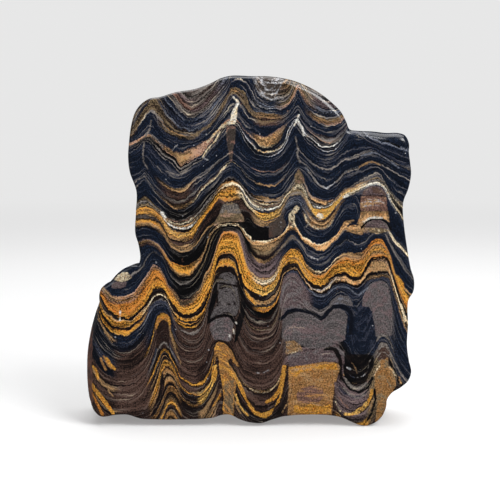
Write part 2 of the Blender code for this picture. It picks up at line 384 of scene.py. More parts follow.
# %% Contacts in the upper half, in millimetres
CONTACTS = {
    "crown_sag": """-112,212 -78,204 -70,212 -62,221 -56,219 -52,214.5 -48,210.5 -38,200.8 -16,219 -12,225
        -6,229.5 0,227.5 5,215.5 9,211.8 14,210.6 20,211 24,213 27,218 29.5,224 32,221 40,210.5 50,206
        55,206.5 62,210 75,214 110,214""",
    "crown_navy_foot": """-112,198 -78,194 -66,207 -61,212.5 -57,209 -54,203.5 -50,199 -46,195 -41,193.2
        -36,193 -30,195 -16,212.5 -11,220.7 -3.5,217 0,208 3,204.7 20,203.6 28,210.5 30.5,217.5 32.5,213
        37,205.5 50,200.2 54,200.5 64,208 78,211 110,209""",
    "olive_foot": """-112,190 -78,186.5 -72,190 -67,197 -63,202 -60,199 -57,193.5 -40,186.2 -35,186.8 -25,193
        -16,206 -10.5,214 -4,208 -1,203.5 8,199.5 14,199 20,199.5 27,206 30.5,211 36,203 50,196 55,197 67,206
        80,208 110,205""",
    "lens_top": """-112,187 -78,184.8 -68,189 -65,190.8 -55,183.2 -52,182 -48,179.6 -44,179 -40,180.5
        -25,188.7 -21,193.3 -10.5,200.5 -2,193.2 9,190 24,197.7 30.3,203 33,199.5 40,192.6 52,189 60,195
        63,198.5 70,202 110,196""",
    "lens_foot": """-112,186 -78,183 -69,186.8 -66,188.6 -63,188 -54.5,180.3 -47,175.2 -45.3,171.6 -43.5,170.6
        -40,172.8 -30,178 -26,184.3 -23,187.6 -20.5,191.2 -10.5,199.6 -2,191.5 3.5,186 7,182 10,181.6 14,182.3
        20,187.5 23,195 30,201.3 36,193.6 50,185 58,188.6 64,196.5 70,199 80,197 110,191""",
    "first_hairline": """-112,183 -78,181.4 -73,182.8 -67,187.4 -54,176.8 -48.5,173.4 -45,168.9 -34,174.8
        -30.5,176 -28.5,178.8 -21.8,186.3 -17.5,193.5 -10.7,198.4 0,185.3 6,179.8 10,179.1 18,181.5 23.4,188
        24,192 26,195.8 29.6,199.6 36.3,189.6 38.5,188.6 47,182 53,183 61.3,192.6 63,196.5 66,198 76,188
        92,182.5 97,180.5 110,178""",
    "second_hairline": """-112,181 -78,179 -73,180.4 -67,186 -64,185.2 -60,180.6 -54,174.4 -48.5,170.4
        -45,166.2 -34,172.4 -30.5,174.2 -25,181.4 -21.6,184.6 -17,192 -10.7,197.2 -8,195.6 0,181.5 6,176.9
        10,176.5 18,178.6 23.5,186 25,190.5 29.6,197.6 31.5,194.8 37,187 40,185 44,181.3 50,179.6 54,180.8
        60,187 64,194 67,195 76,186 92,180.5 97,178.5 110,176""",
    "upper_navy": """-112,176 -78,173 -72,174.5 -67,178.5 -60,170.6 -46,160.4 -41,161.5 -36,165.5 -19,178.4
        -11,185 -8,181.6 5,172.4 10,171.8 15,172.6 25,181 30,188.4 33,184 47,174.3 52,175 66,185.5 72,186
        78,184 96,175.6 110,171""",
    "tan_sag_foot": """-112,168 -78,165.4 -72,166.5 -67,170 -63,166.6 -60,161.6 -45,153.8 -41,155.2 -35,161
        -31,163.2 -17,174 -12,177 1,169 10,166 15,166.3 24,172.5 30,181 33,178.3 40,171.7 50,167.6 54,169
        58,172.8 67,174.8 76,179 80,178.6 88,174.2 110,164""",
    "white_limb": """-112,158 -78,157.5 -70,161.6 -67,164 -65,160.5 -54,147.2 -47,142.7 -44,142.7 -41,144
        -35.5,147.6 -31,154 -22,162 -15.5,170.6 -11,172.4 -1,162.5 6,158.2 14,156.8 18,158.4 31,170 37,168
        39,165 46,157 50,156 53,158 57,161.4 61,166.6 73,170.6 77,172.7 96,164 110,157""",
    "cream_stack_top": """-112,147 -74,147.3 -67,150.8 -61,145.6 -58,143.2 -52.5,138.2 -44,135.8 -32,143.2
        -27,150 -21,156 -19,159 -12.5,163.8 -10,163.8 -7.5,162 3,151.6 18,149.1 27,160.4 31,167.6 33,164
        40,151.4 48,148.6 53,148.6 60,155.6 65,157.6 69,160.5 78,165 81,166.2 83.5,164.6 89,155 110,138""",
    "cream_stack_foot": """-112,141 -74,141.6 -70,144 -66,144.6 -59,141 -51,131.6 -44,129.3 -40,129.8
        -31,138.3 -17.5,156.2 -11,157.6 -5.5,155 -2.6,148.6 4,142.6 12,141.4 19,144.7 24,152 30.5,156.9 35,154
        38.2,146.4 43,142.6 50.5,143.2 55.5,148.8 61,153.8 65,155 81,160.4 86.5,157.4 91,148 97,140
        110,124""",
}
print("upper contacts:", len(CONTACTS))

# %% Contacts in the middle, in millimetres
CONTACTS.update({
    "upper_gold_foot": """-112,136 -74,137.8 -71,139.2 -63,138.5 -57.5,134.8 -51,123.7 -45,121.9 -41,122
        -38,123.2 -31,133.6 -22,146.4 -19.8,148.8 -16,146.7 -5.3,148.5 -2,144.4 3,139.6 9,135.4 18,138.2
        26,149.4 29,150.3 33,150 41,139 47,136 60,150.3 63,150.9 80.5,158.7 84,157.6 90.3,146.2 96,137
        110,110""",
    "second_gold_foot": """-112,130 -74,130.8 -66,131.2 -55,126 -51,119.8 -44,116 -40,116.5 -36,118.8
        -27,130.8 -20,134.6 -12,135.3 -4.5,135 -1.3,138.6 3,133.6 10,130.8 14,131 18,133 25,143.6 28,144.6
        31,144.3 36,133.6 43,129.7 47,129.6 52.5,134.2 54.5,138.5 60,147.6 64,149.6 67.5,149.4 70.3,137.6
        72,134.6 75,136 84,136.6 87,135 93,124 100,117 110,100""",
    "tan_bed_top": """-112,121 -74,121.8 -66,123.5 -62,122.6 -56,116.8 -50.5,108.6 -43,106 -30,115 -25.4,127.4
        -20,132.8 -12,133.7 -7,132.9 -4.3,130.9 -2.6,127.8 7,122.2 16,123.8 22,128.6 27,134 28.6,133.8
        30.2,130.6 34,125 46,120.7 55.5,126.2 61.5,135 66,132 69,131.5 73.5,134.6 77,135.7 83,135.7 86,134.7
        92,123.8 100,116 110,98""",
    "tan_bed_foot": """-112,118 -70,118.4 -66,119.8 -62,119.2 -53.5,109 -51.5,105.6 -43,99 -39,99.6
        -32.5,106.5 -22.6,129.3 -19,131.5 -12,132.3 -7,131.3 -1.2,122 4,118.8 8,118.5 19,123 27.5,129.8
        30,128.4 34,122.3 46,116 55,122.6 61.5,129.6 64,128.4 73,126.6 80,127.8 86,127.6 93,118.4 100,111
        110,94""",
    "grey_hairline": """-112,100 -90,97 -80,97 -75,99.4 -68.5,105 -65.3,111.6 -62,114.4 -55.2,110 -52,102
        -47,95.2 -43,93.8 -39,94.5 -26.2,116 -25,121.4 -18.5,130.1 -12,131 -7,129.7 -4.8,127.2 0.3,114.2
        9,107.6 12,108.5 15,111.6 21,118.3 27.5,124.6 33,119 37.5,112.2 43,110.2 50,112.5 54,117.4 60,120.8
        61.7,122.2 69,119.3 75,122.2 77,125.4 80,126.9 86,126.8 90,119.7 99,104 110,90""",
    "main_gold_top": """-112,100 -98,95 -91,90 -89,87.6 -83,86.2 -75,88.6 -69,96.6 -63.7,104 -62,106.5
        -60,106.5 -56,102 -53,94.6 -47,88 -45.5,85.2 -43,83.6 -40,84.2 -37,86.6 -31.5,92 -29,100 -26,104.6
        -16.8,127.9 -12,128.8 -8.2,127.6 -1,105 8,98 12,98 17,102.6 18.2,106 28,117.8 31,116.6 37,106.2
        43,102.6 46,102.6 49,104 55,111.5 61,114.6 65,114.8 69,113.8 72,114.6 80.5,123.4 83.5,123.7 90,113.4
        93,103 101,91 104,88.6 110,82""",
    "main_gold_foot": """-112,98 -100,92 -90,76 -83,72.5 -79,72.3 -70,78 -59,92 -56.5,91.5 -50.5,82 -42,74.9
        -38,74.9 -26,89.6 -20,111.5 -18,113.4 -14,113.9 -11,113 -9,110.5 -6,99.6 -3,93 5.5,87.2 8,86.2
        10.5,86.6 12.5,88.6 15,90.2 19,96.8 21,104 27,108.1 30,107.4 36,98.6 45,93.2 47.5,93.6 53,99 60,101.6
        63,100.8 66,98.9 70,98.7 78,110.6 85,112 88,111 90,108 91,104 94,95 97,85 110,60""",
    "black_line_foot": """-112,95 -100,89 -93,76 -83,70 -79,69.9 -67,79.6 -61,87.6 -58,88.6 -53.5,85.5 -52,82
        -48,75.5 -41,72.3 -37,72.5 -31,76.2 -25.3,88.4 -21.8,104 -18.3,110.6 -14,111.3 -9.4,108.4 -7.8,101.2
        -4,91.8 5,83.5 9,83.3 19,92.4 22,102.4 29,105.2 33.5,100 42,91 45,90.8 57,99.2 60,99.6 63,98.9 66,97.1
        70,96.6 79,109.2 82,110.2 88,109.2 90.5,102 99,76.6 110,56""",
    "third_gold_foot": """-112,93 -100,86 -93.3,72.4 -85,65.6 -81,65.1 -69,74 -60.5,86.1 -58,86.9 -53.1,83.4
        -51.5,79.4 -47,72.5 -41,69.8 -37,69.9 -31.5,73.3 -26,86.4 -22,102.6 -20,104.9 -16,106.1 -10.6,104.6
        -5.2,91.6 3.4,80.9 7,80.2 11,80.6 16.5,84.8 19.8,93.4 22,101 28.5,104 39,91.2 46,88.7 49,89.7 55,95.4
        60,96.4 63,95.7 66,94 69.5,93.8 77,101.6 84.5,102.8 88,102.2 90,100 91,97 100,70 110,52""",
    "fourth_gold_top": """-112,92 -100,84 -93.6,70.6 -88,65 -80,63.8 -74,67.5 -69,72 -65.4,79 -60,84.4 -57,85
        -54,83.7 -48.5,73.5 -43,69.3 -39,68.6 -33,70.7 -29.3,77.2 -22.5,101 -20.5,103.6 -16,105 -12.5,104.5
        -10,102.6 -5.3,90.6 1,81.2 8,79.1 12,79.4 15,81.1 18.8,88.2 22.3,100.4 28.5,103 39,90.1 46,87.5
        49,88.5 55,93.9 60,94.9 69.5,92 77,99.5 84.5,101.3 88,100.6 90.3,98 91.6,94.5 100.5,67.5 110,49""",
    "fourth_gold_foot": """-112,90 -100,82 -93.8,67.8 -85,60.5 -79,60.3 -77,62.2 -69,69.4 -65.4,76.4 -60,81.5
        -57,82.1 -54,81.1 -48.5,71.5 -43,66.7 -39,65.8 -36,66.2 -31,70.6 -21,100.6 -15,101.9 -9.8,98.6
        -5.8,87.8 1,78.5 8,75.7 11,75.9 18.5,84.8 22.3,98.6 28.5,101.5 39,88.6 46,86.1 49,87.1 55,92.5 60,93.5
        66,91 69.5,90.5 77,97 84.5,98.6 88,97.9 90,95.6 92.6,87.5 100,64.5 102.5,60 110,46""",
    "brown_beds_top": """-112,82 -99,70 -96.5,64.5 -86,52.6 -82,51.4 -78,52 -68,61.6 -61.8,76 -56,79 -53.5,78
        -45.5,61.4 -39,57.2 -35.5,57.2 -30,62.6 -23.5,94 -21,97.6 -15,98.8 -11.5,97.4 -4,74 1,65.8 8,63.7
        12,64.4 17.6,71.4 21,93 23,97.4 26,99.2 29,98.4 40,79.4 46,77 58.6,86.8 62,85.4 66.6,80 69,80.4
        78,94.4 81,96.4 85,97 88,95.6 90,91.4 91,85.6 98,61.6 110,42""",
})
print("contacts down to the brown beds:", len(CONTACTS))

# %% Contacts in the foot, in millimetres
CONTACTS.update({
    "inner_arch_top": """-112,70 -105,60 -95,44.5 -84,39.5 -78,39.8 -69,46 -64,56 -60,72.5 -57.5,75 -54.5,74.6
        -52.5,71.5 -50,60 -44,50.5 -40,48.8 -36,49 -32,51 -29.5,55 -26.3,68 -24,71.5 -16,74 -12.5,73 -10,69.5
        -8.3,64 -2,52 3,49 8,48.4 13,50 20,60 23,74 26,76.6 31,77 41,74 45,71.2 54,79 58,80 61.5,79.4
        64.4,76.5 68,57 70.5,52 73.5,51.5 76,54 80,66.5 83,70 86,70.8 89,68.5 91.5,62 96.5,49 110,32""",
    "block_step": """-112,60 -96,31.5 -91,28 -85,26.5 -78,27 -68,34.5 -62.5,46 -58.5,57.5 -56,60 -54,59.5
        -50,50.5 -44,41 -40,38.5 -36,38 -29,43 -23.5,56 -20,57.3 -16,56.5 -2,36.5 8,34 13,35.5 20,44 24,52
        40,54 47,55.5 52,56.8 56,56 67,42.5 70,41.6 79,51 85,60.3 88,59.6 90.5,55 98.5,38.5 110,26""",
    "gold_hairline": """-112,50 -106.5,40 -104,33 -92,17.5 -86,15.8 -79,16 -73,19 -63.5,34 -59.3,44.4
        -55.4,50.4 -48.4,40.6 -45,33 -42,31 -36,28 -32,28.4 -25.2,38.5 -23.3,47 -21,48.5 -17,47 -9,37.5
        -3,27.5 9,23.6 13,24.6 19,31.5 23,41 27,42.5 50,44.2 56,43.5 67.5,35 71,34 74,35.5 80,45 86,54.6
        89,52.6 91.5,47.8 99.5,32.5 103,28.5 110,20""",
    "main_peak": """-112,42 -107,34 -104.5,27.5 -93,10.5 -87,8.5 -69,10.4 -59.6,29 -57,40 -54.8,43 -49.8,38.8
        -44,25.5 -41,22.6 -33,20.8 -26.4,26.6 -23.2,35 -22,39.5 -20,40 -17,39 -12,37.2 -10.5,33.5 -1.5,16.5
        8,8.9 19,16.2 23.6,33 26,36 33,36.6 45,37.6 56,37.5 59,36 61.5,32.8 67.5,28.8 71.5,28.6 75,31 83,45
        86,48.4 89,46.8 96.5,33 110,16""",
    "inner_peak": """-112,36 -107.5,28 -105,21.5 -94,5 -88,2.5 -80,2.4 -66,5.4 -62,8.4 -56.8,18 -53.6,26
        -51.4,27.6 -42,16 -36,13.2 -32,14.2 -22.4,29.5 -19.6,36 -12,29 -9.8,24 -7.6,20.5 -5.4,15.8 -3,13
        -1,10.4 8,6.2 11,6.3 14,8.2 20.5,15.2 24.4,26 27,29 55,26 61,20.6 68,18.2 72,18.4 75.5,20.6 84,32
        88,31 93,22 95,15 110,5""",
})
print("contacts in all:", len(CONTACTS))

# %% [markdown]
# ## The colours of the stone
# The colours of this rock come from a few minerals: iron-stained carbonate gives gold and tan,
# clean calcite gives cream, clay and carbon give the browns, and dense dark chert the navy and
# the black. So every bed is painted from one short list of named colours.

# %% Pigments, as display colours from 0 to 255
PIGMENTS = {
    "navy": (23, 33, 51),
    "ink": (15, 20, 32),
    "black": (12, 11, 13),
    "slate": (54, 58, 74),
    "steel": (112, 116, 128),
    "silver": (186, 186, 190),
    "white": (250, 247, 238),
    "cream": (244, 226, 190),
    "peach": (222, 174, 120),
    "rose": (184, 146, 124),
    "tan": (172, 136, 94),
    "olive": (132, 112, 84),
    "gold": (224, 160, 62),
    "amber": (206, 134, 54),
    "honey": (242, 190, 98),
    "ochre": (176, 128, 74),
    "umber": (54, 37, 32),
    "bark": (88, 65, 56),
    "soot": (28, 19, 18),
    "mauve": (112, 94, 95),
    "ash": (112, 105, 105),
    "stone": (132, 124, 118),
    "rind": (122, 78, 62),
    "clay": (142, 106, 92),
    "loam": (84, 74, 68),
}


def linear(pigment):
    share = np.array(PIGMENTS[pigment]) / 255.0
    return np.where(share <= 0.04045, share / 12.92, ((share + 0.055) / 1.055) ** 2.4)


def paint(pigment):
    return (*linear(pigment), 1.0)


print("pigments:", len(PIGMENTS))

# %% [markdown]
# ## Measured sections
# A geologist describes folded beds by measuring a section down each column and each trough. The
# stone is painted in the same way. Along every station a bed is a run of pigments with places in
# percent, from its top (0) to its foot (100); "gold 20-60" is a plain stretch. The first pigment
# reaches up to the top and the last one down to the foot. Between two stations the runs fade into
# each other, and a station that has no run of its own for a bed takes the nearest one.

# %% Stations: the line of each column or trough as (z, x), in millimetres
STATIONS = {
    "west": ((0, -98), (230, -92)),
    "trough_a": ((0, -74), (60, -79), (230, -82)),
    "column_1": ((0, -52), (45, -54), (75, -57), (105, -60), (135, -66), (230, -66)),
    "trough_b": ((0, -38), (80, -42), (120, -45), (230, -46)),
    "limb_b": ((0, -27), (110, -29), (160, -28), (230, -27)),
    "column_2": ((0, -15), (60, -17), (115, -14), (150, -12), (230, -11)),
    "limb_c": ((0, -4), (110, -3), (230, -2)),
    "trough_c": ((0, 14), (70, 13), (105, 8), (230, 10)),
    "column_3": ((0, 34), (70, 32), (105, 28), (230, 30)),
    "trough_d": ((0, 46), (230, 48)),
    "saddle": ((0, 68), (230, 65)),
    "column_4": ((0, 86), (60, 87), (100, 84), (160, 80), (230, 80)),
    "east": ((0, 99), (230, 98)),
}
print("stations:", len(STATIONS))

# %% Sections from the crown to the upper gold: bed named for the contact at its foot
BEDS = {
    "crown_sag": {
        "column_1": "olive 10, umber 24, tan 36, umber 48, stone 60, umber 72, olive 84, slate 100",
        "trough_b": """mauve 0, stone 8, umber 14, clay 22, stone 31, umber 39, stone 47, mauve 56,
            umber 66, clay 74, umber 81, stone 90, umber 96, stone 100""",
        "limb_b": "mauve 20, umber 32, stone 42, umber 52, stone 62, umber 72, mauve 82, umber 90, stone 100",
        "column_2": "slate 20, navy 30, steel 55, navy 62, steel 80, navy 88",
        "limb_c": "slate 20, navy 30, steel 50, navy 60, steel 78, navy 86",
        "trough_c": """mauve 0, stone 20, umber 34, stone 44, mauve 56, stone 70, umber 80, silver 90,
            slate 100""",
        "column_3": "umber 10, olive 24, umber 40, tan 56, umber 70, olive 84, slate 100",
        "trough_d": """mauve 10, umber 16, stone 24, umber 34, mauve 46, umber 54, stone 66, ink 74,
            mauve 86, ink 100""",
    },
    "crown_navy_foot": {
        "west": "umber 0, olive 12, soot 24, bark 36, umber 48, olive 60, soot 72, loam 86, soot 100",
        "column_1": "umber 0, loam 12, navy 22-34, loam 44, soot 54, olive 64, umber 76, navy 86, loam 96",
        "trough_b": """navy 8, slate 14, navy 22, steel 30, navy 38-46, slate 54, navy 60, slate 72,
            navy 80, steel 88, navy 100""",
        "column_2": "navy 30, slate 45, navy 60",
        "trough_c": "navy 20, steel 30, navy 38-48, silver 58, navy 66-84, steel 93, navy 100",
        "column_3": "olive 20, rose 50, navy 70",
        "trough_d": "navy 10, steel 20, navy 30, steel 46, navy 56, slate 70, navy 80",
    },
    "olive_foot": {
        "west": "loam 0, soot 14, olive 28, umber 42, tan 56, umber 72, slate 90",
        "column_1": "olive 14, umber 28, olive 40, navy 56",
        "trough_b": """umber 0, loam 10, soot 20, olive 30, soot 38, loam 46, soot 54, tan 62, soot 70,
            olive 78, soot 86, slate 93, navy 100""",
        "limb_b": "slate 16, olive 30, umber 44, olive 56, slate 72, navy 100",
        "column_2": "umber 0, olive 12, umber 26, tan 38, umber 50, olive 62, slate 80",
        "limb_c": "olive 10, umber 24, olive 38, umber 52, olive 64, navy 90",
        "trough_c": """umber 0, olive 12, umber 22, tan 32, umber 42, tan 54, bark 64, tan 74, bark 88,
            umber 100""",
        "column_3": "navy 0",
        "trough_d": "umber 0, olive 12, umber 24, tan 36, umber 48, tan 62, umber 76, rose 86, slate 100",
    },
    "lens_top": {
        "west": "navy 0",
        "trough_b": "slate 0, navy 15",
        "column_2": "navy 0",
        "trough_c": "olive 0, bark 25, slate 45, navy 60",
        "column_3": "navy 0",
    },
    "lens_foot": {
        "west": "rose 60, slate 100",
        "column_1": "rose 30, tan 60, slate 100",
        "trough_b": "umber 0, rose 8, tan 22-80, rose 94",
        "limb_b": "rose 0",
        "column_2": "rose 60, slate 100",
        "limb_c": "slate 50, stone 76, rose 90",
        "trough_c": "umber 0, rose 6, peach 16-80, cream 94",
        "column_3": "slate 30, stone 56, slate 84",
        "trough_d": "mauve 20, stone 34, slate 46, stone 58-74, rose 86, stone 100",
        "saddle": "mauve 0, navy 30",
        "column_4": "navy 0",
    },
    "first_hairline": {
        "west": "navy 70, stone 88, slate 100",
        "trough_b": "black 60, stone 84",
        "limb_b": "navy 50, slate 80",
        "column_2": "slate 20, ink 30-74, stone 86",
        "limb_c": "slate 0, navy 20-78, silver 86",
        "trough_c": "ink 80, cream 88",
        "column_3": "navy 74, silver 86",
        "trough_d": "ink 80, white 88",
        "saddle": "navy 80, slate 90",
        "column_4": "navy 86, steel 95",
    },
    "second_hairline": {
        "west": "slate 0, navy 30-80, steel 90",
        "trough_b": "stone 6, ink 18-78, stone 88-96, navy 100",
        "column_2": "cream 14, ink 30-66, stone 88",
        "limb_c": "silver 5, ink 16-80, silver 89-96",
        "trough_c": "cream 5, ink 14-82, silver 90-97, navy 100",
        "column_3": "silver 12, ink 28-68, silver 86-96",
        "trough_d": "silver 5, ink 14-82, silver 90-97, navy 100",
        "saddle": "slate 0, navy 20-80, slate 96",
        "column_4": "steel 0, navy 20-80, slate 96, navy 100",
    },
    "upper_navy": {
        "west": "navy 0",
        "trough_b": "navy 18, slate 26, navy 34, slate 48, navy 56",
        "limb_b": "navy 30, slate 45, navy 60",
        "column_2": "navy 0",
        "column_4": "navy 20, slate 30, navy 50",
    },
    "tan_sag_foot": {
        "column_1": "navy 0",
        "trough_b": "navy 50, slate 58, navy 64, olive 70, tan 78-98, umber 100",
        "limb_b": "navy 78, stone 88-94, navy 100",
        "column_2": "navy 0",
        "limb_c": "navy 80, slate 92, navy 100",
        "trough_c": "navy 72, slate 80, rose 88-98, navy 100",
        "column_3": "navy 0",
        "trough_d": "navy 80, stone 92-98, navy 100",
        "column_4": "navy 30, slate 50, navy 66-82, stone 92-98, navy 100",
    },
    "white_limb": {
        "west": "navy 86, stone 94, navy 100",
        "column_1": "navy 84, stone 92-97, navy 100",
        "trough_b": """soot 0, bark 12, soot 22, bark 34, umber 44, black 55, umber 66, soot 74, tan 84-97,
            navy 100""",
        "limb_b": "navy 70, rose 82, cream 90-97, navy 100",
        "column_2": "navy 86, cream 94-98, navy 100",
        "limb_c": "navy 84, stone 93-98, navy 100",
        "trough_c": "navy 86, tan 93-98, navy 100",
        "column_3": "navy 0",
        "trough_d": "navy 88, silver 94-98, navy 100",
        "column_4": "navy 82, stone 90-97, navy 100",
    },
    "cream_stack_top": {
        "column_1": "navy 0",
        "trough_b": "ink 10, black 30",
        "limb_b": "navy 30, black 70",
        "column_2": "navy 0",
        "trough_c": "navy 90, ink 100",
    },
    "cream_stack_foot": {
        "column_1": "soot 6, olive 14-26, soot 36, stone 46-58, black 68, olive 78-88, black 96",
        "trough_b": """stone 5, black 10-14, rose 20-26, black 32-36, cream 42-48, black 54-58, peach 64-70,
            black 76-80, white 87-94, black 99""",
        "limb_b": "black 25, stone 40, black 55, olive 75-90, black 100",
        "column_2": "slate 4, stone 14, soot 26-40, ochre 52-62, cream 72-80, ochre 90, soot 98",
        "limb_c": "soot 16, stone 28, soot 38-56, cream 68, white 78, soot 88, stone 94, soot 100",
        "trough_c": """tan 4, soot 10, tan 18, stone 24, black 30-34, tan 40, cream 44, black 50-54,
            rose 60, black 66-68, cream 74, black 80-82, white 89-94, black 99""",
        "column_3": "stone 50, olive 64, cream 80-96, olive 100",
        "trough_d": """rose 8, soot 16, peach 26-32, black 40-44, stone 52, black 60-66, white 75-80,
            black 89, honey 100""",
        "saddle": "stone 14, slate 28, tan 44-60, slate 72, cream 90",
        "column_4": "stone 22, slate 32, olive 46-64, slate 76, stone 92",
        "east": "stone 8, soot 18, cream 28-38, black 50, stone 64, black 80",
    },
    "upper_gold_foot": {
        "column_1": "black 3, ochre 8, gold 20, ochre 36, gold 52, ochre 68, gold 80, tan 92, soot 100",
        "trough_b": "black 18, ochre 24, honey 32, tan 44, honey 56, ochre 70, tan 92, soot 100",
        "limb_b": "black 9, gold 20-66, amber 92, soot 100",
        "column_2": "soot 3, ochre 10, gold 40, ochre 90, black 96",
        "limb_c": "soot 10, cream 30-55, black 75",
        "trough_c": "slate 12, black 20, gold 30, honey 55-92, soot 100",
        "column_3": "cream 3, olive 14-34, stone 48, olive 62, slate 80",
        "trough_d": "black 8, cream 15-30, honey 45-60, cream 78, gold 92, soot 100",
        "saddle": "honey 10, cream 35-60, slate 100",
        "column_4": "cream 20, white 35-90, slate 100",
        "east": "soot 10, cream 28-40, black 55, navy 70",
    },
}
print("beds so far:", len(BEDS))

# %% Sections from the second gold to the main gold
BEDS.update({
    "second_gold_foot": {
        "column_1": "loam 14, soot 26, ochre 38, gold 50, ochre 62, tan 76-86, umber 94, soot 100",
        "trough_b": "black 10, bark 22-34, umber 44, tan 58-88, soot 100",
        "limb_b": "black 20, umber 40-60, black 80",
        "column_2": "bark 30, soot 50",
        "trough_c": "slate 10, tan 24-40, olive 55, tan 70-84, slate 100",
        "column_3": "slate 14, steel 28, navy 38, steel 52, navy 62",
        "trough_d": "stone 12, slate 20, tan 32-46, soot 52, peach 62-88, slate 100",
        "saddle": "slate 6, navy 14",
        "east": "navy 0",
    },
    "tan_bed_top": {
        "column_1": "black 5, navy 12-92, slate 100",
        "trough_b": "tan 5, black 12",
        "column_2": "black 0",
        "trough_c": "black 20, ink 40",
        "column_3": "navy 0",
        "trough_d": "slate 8, navy 16-94, slate 100",
        "saddle": "navy 0",
    },
    "tan_bed_foot": {
        "column_1": "mauve 10, tan 20-30, bark 44-84, soot 100",
        "trough_b": "amber 5, gold 15-62, tan 86, soot 100",
        "limb_b": "tan 80, soot 100",
        "column_2": "tan 15, cream 35-80, soot 100",
        "limb_c": "cream 30, tan 60-90, soot 100",
        "trough_c": "cream 14, peach 28-60, tan 90, soot 100",
        "column_3": "cream 10, peach 25-70, soot 100",
        "trough_d": "cream 8, peach 18-80, tan 95, soot 100",
        "saddle": "peach 70, slate 100",
        "column_4": "stone 60, slate 100",
        "east": "cream 25, slate 60",
    },
    "grey_hairline": {
        "west": "navy 88, stone 95, navy 100",
        "column_1": "navy 84, stone 93, navy 100",
        "trough_b": "black 68, stone 82-94, black 100",
        "limb_b": "black 66, olive 82-94, black 100",
        "column_2": "black 0",
        "trough_c": "tan 20, olive 36, umber 60, soot 72-84, tan 90-96, mauve 100",
        "column_3": "navy 50, slate 78, olive 92, slate 100",
        "trough_d": "navy 78, silver 90-97, navy 100",
        "saddle": "navy 84, stone 94, navy 100",
        "column_4": "navy 86, stone 93-97, navy 100",
        "east": "navy 60, stone 78, navy 96",
    },
    "main_gold_top": {
        "column_1": "navy 0",
        "trough_b": "black 0",
        "column_2": "black 0",
        "limb_c": "black 15, mauve 40",
        "trough_c": "mauve 90, bark 100",
        "column_3": "slate 12, navy 24",
        "column_4": "navy 0",
    },
    "main_gold_foot": {
        "west": "mauve 6, tan 14, soot 20, tan 30, mauve 40, amber 52-90, gold 100",
        "trough_a": "rose 3, ochre 10, rose 14, soot 17, ochre 22, rose 30, amber 40-84, gold 97, soot 100",
        "column_1": "rose 5, ochre 10, bark 14, amber 22-60, gold 76-96, soot 100",
        "trough_b": "bark 6, tan 13, olive 22, soot 28, tan 35, amber 45, gold 56-96, soot 100",
        "limb_b": "tan 15, ochre 22, gold 36-95, soot 100",
        "column_2": "rose 3, amber 9-20, gold 34-94, ochre 98, soot 100",
        "limb_c": "tan 5, gold 20-95, soot 100",
        "trough_c": "tan 6, cream 12-16, soot 21, cream 26-32, olive 40, gold 50, honey 58-96, soot 100",
        "column_3": "gold 8, bark 13, gold 22-56, tan 66, gold 82-96, soot 100",
        "trough_d": "cream 5, tan 12, soot 18, tan 26, amber 38, gold 50-96, soot 100",
        "saddle": "tan 10, bark 16, tan 24, amber 40, gold 60-96, soot 100",
        "column_4": "amber 24, bark 30, tan 38, gold 54, tan 72, amber 95, soot 100",
        "east": "tan 10, soot 18, gold 28-44, bark 52, amber 62-76, soot 84, tan 92, soot 100",
    },
    "black_line_foot": {
        "west": "soot 76, tan 92",
        "trough_b": "soot 90, tan 100",
        "trough_c": "soot 95, tan 100",
    },
    "third_gold_foot": {
        "west": "tan 10, gold 30-90",
        "trough_a": "cream 3, amber 10, gold 25-84, tan 95, soot 100",
        "column_1": "soot 14, cream 38-74, soot 96",
        "trough_b": "tan 10, gold 25-78, olive 95, soot 100",
        "limb_b": "gold 90, soot 100",
        "column_2": "tan 12, gold 30-74, ochre 94, soot 100",
        "trough_c": "tan 80, olive 94, soot 100",
        "column_3": "soot 10, tan 40-76, soot 100",
        "trough_d": "stone 12, silver 30, rose 50, cream 74, tan 92, soot 100",
        "saddle": "tan 12, peach 25-84, soot 100",
        "column_4": "rose 8, tan 22-80, olive 94, soot 100",
        "east": "cream 40, tan 80, soot 100",
    },
})
print("beds so far:", len(BEDS))

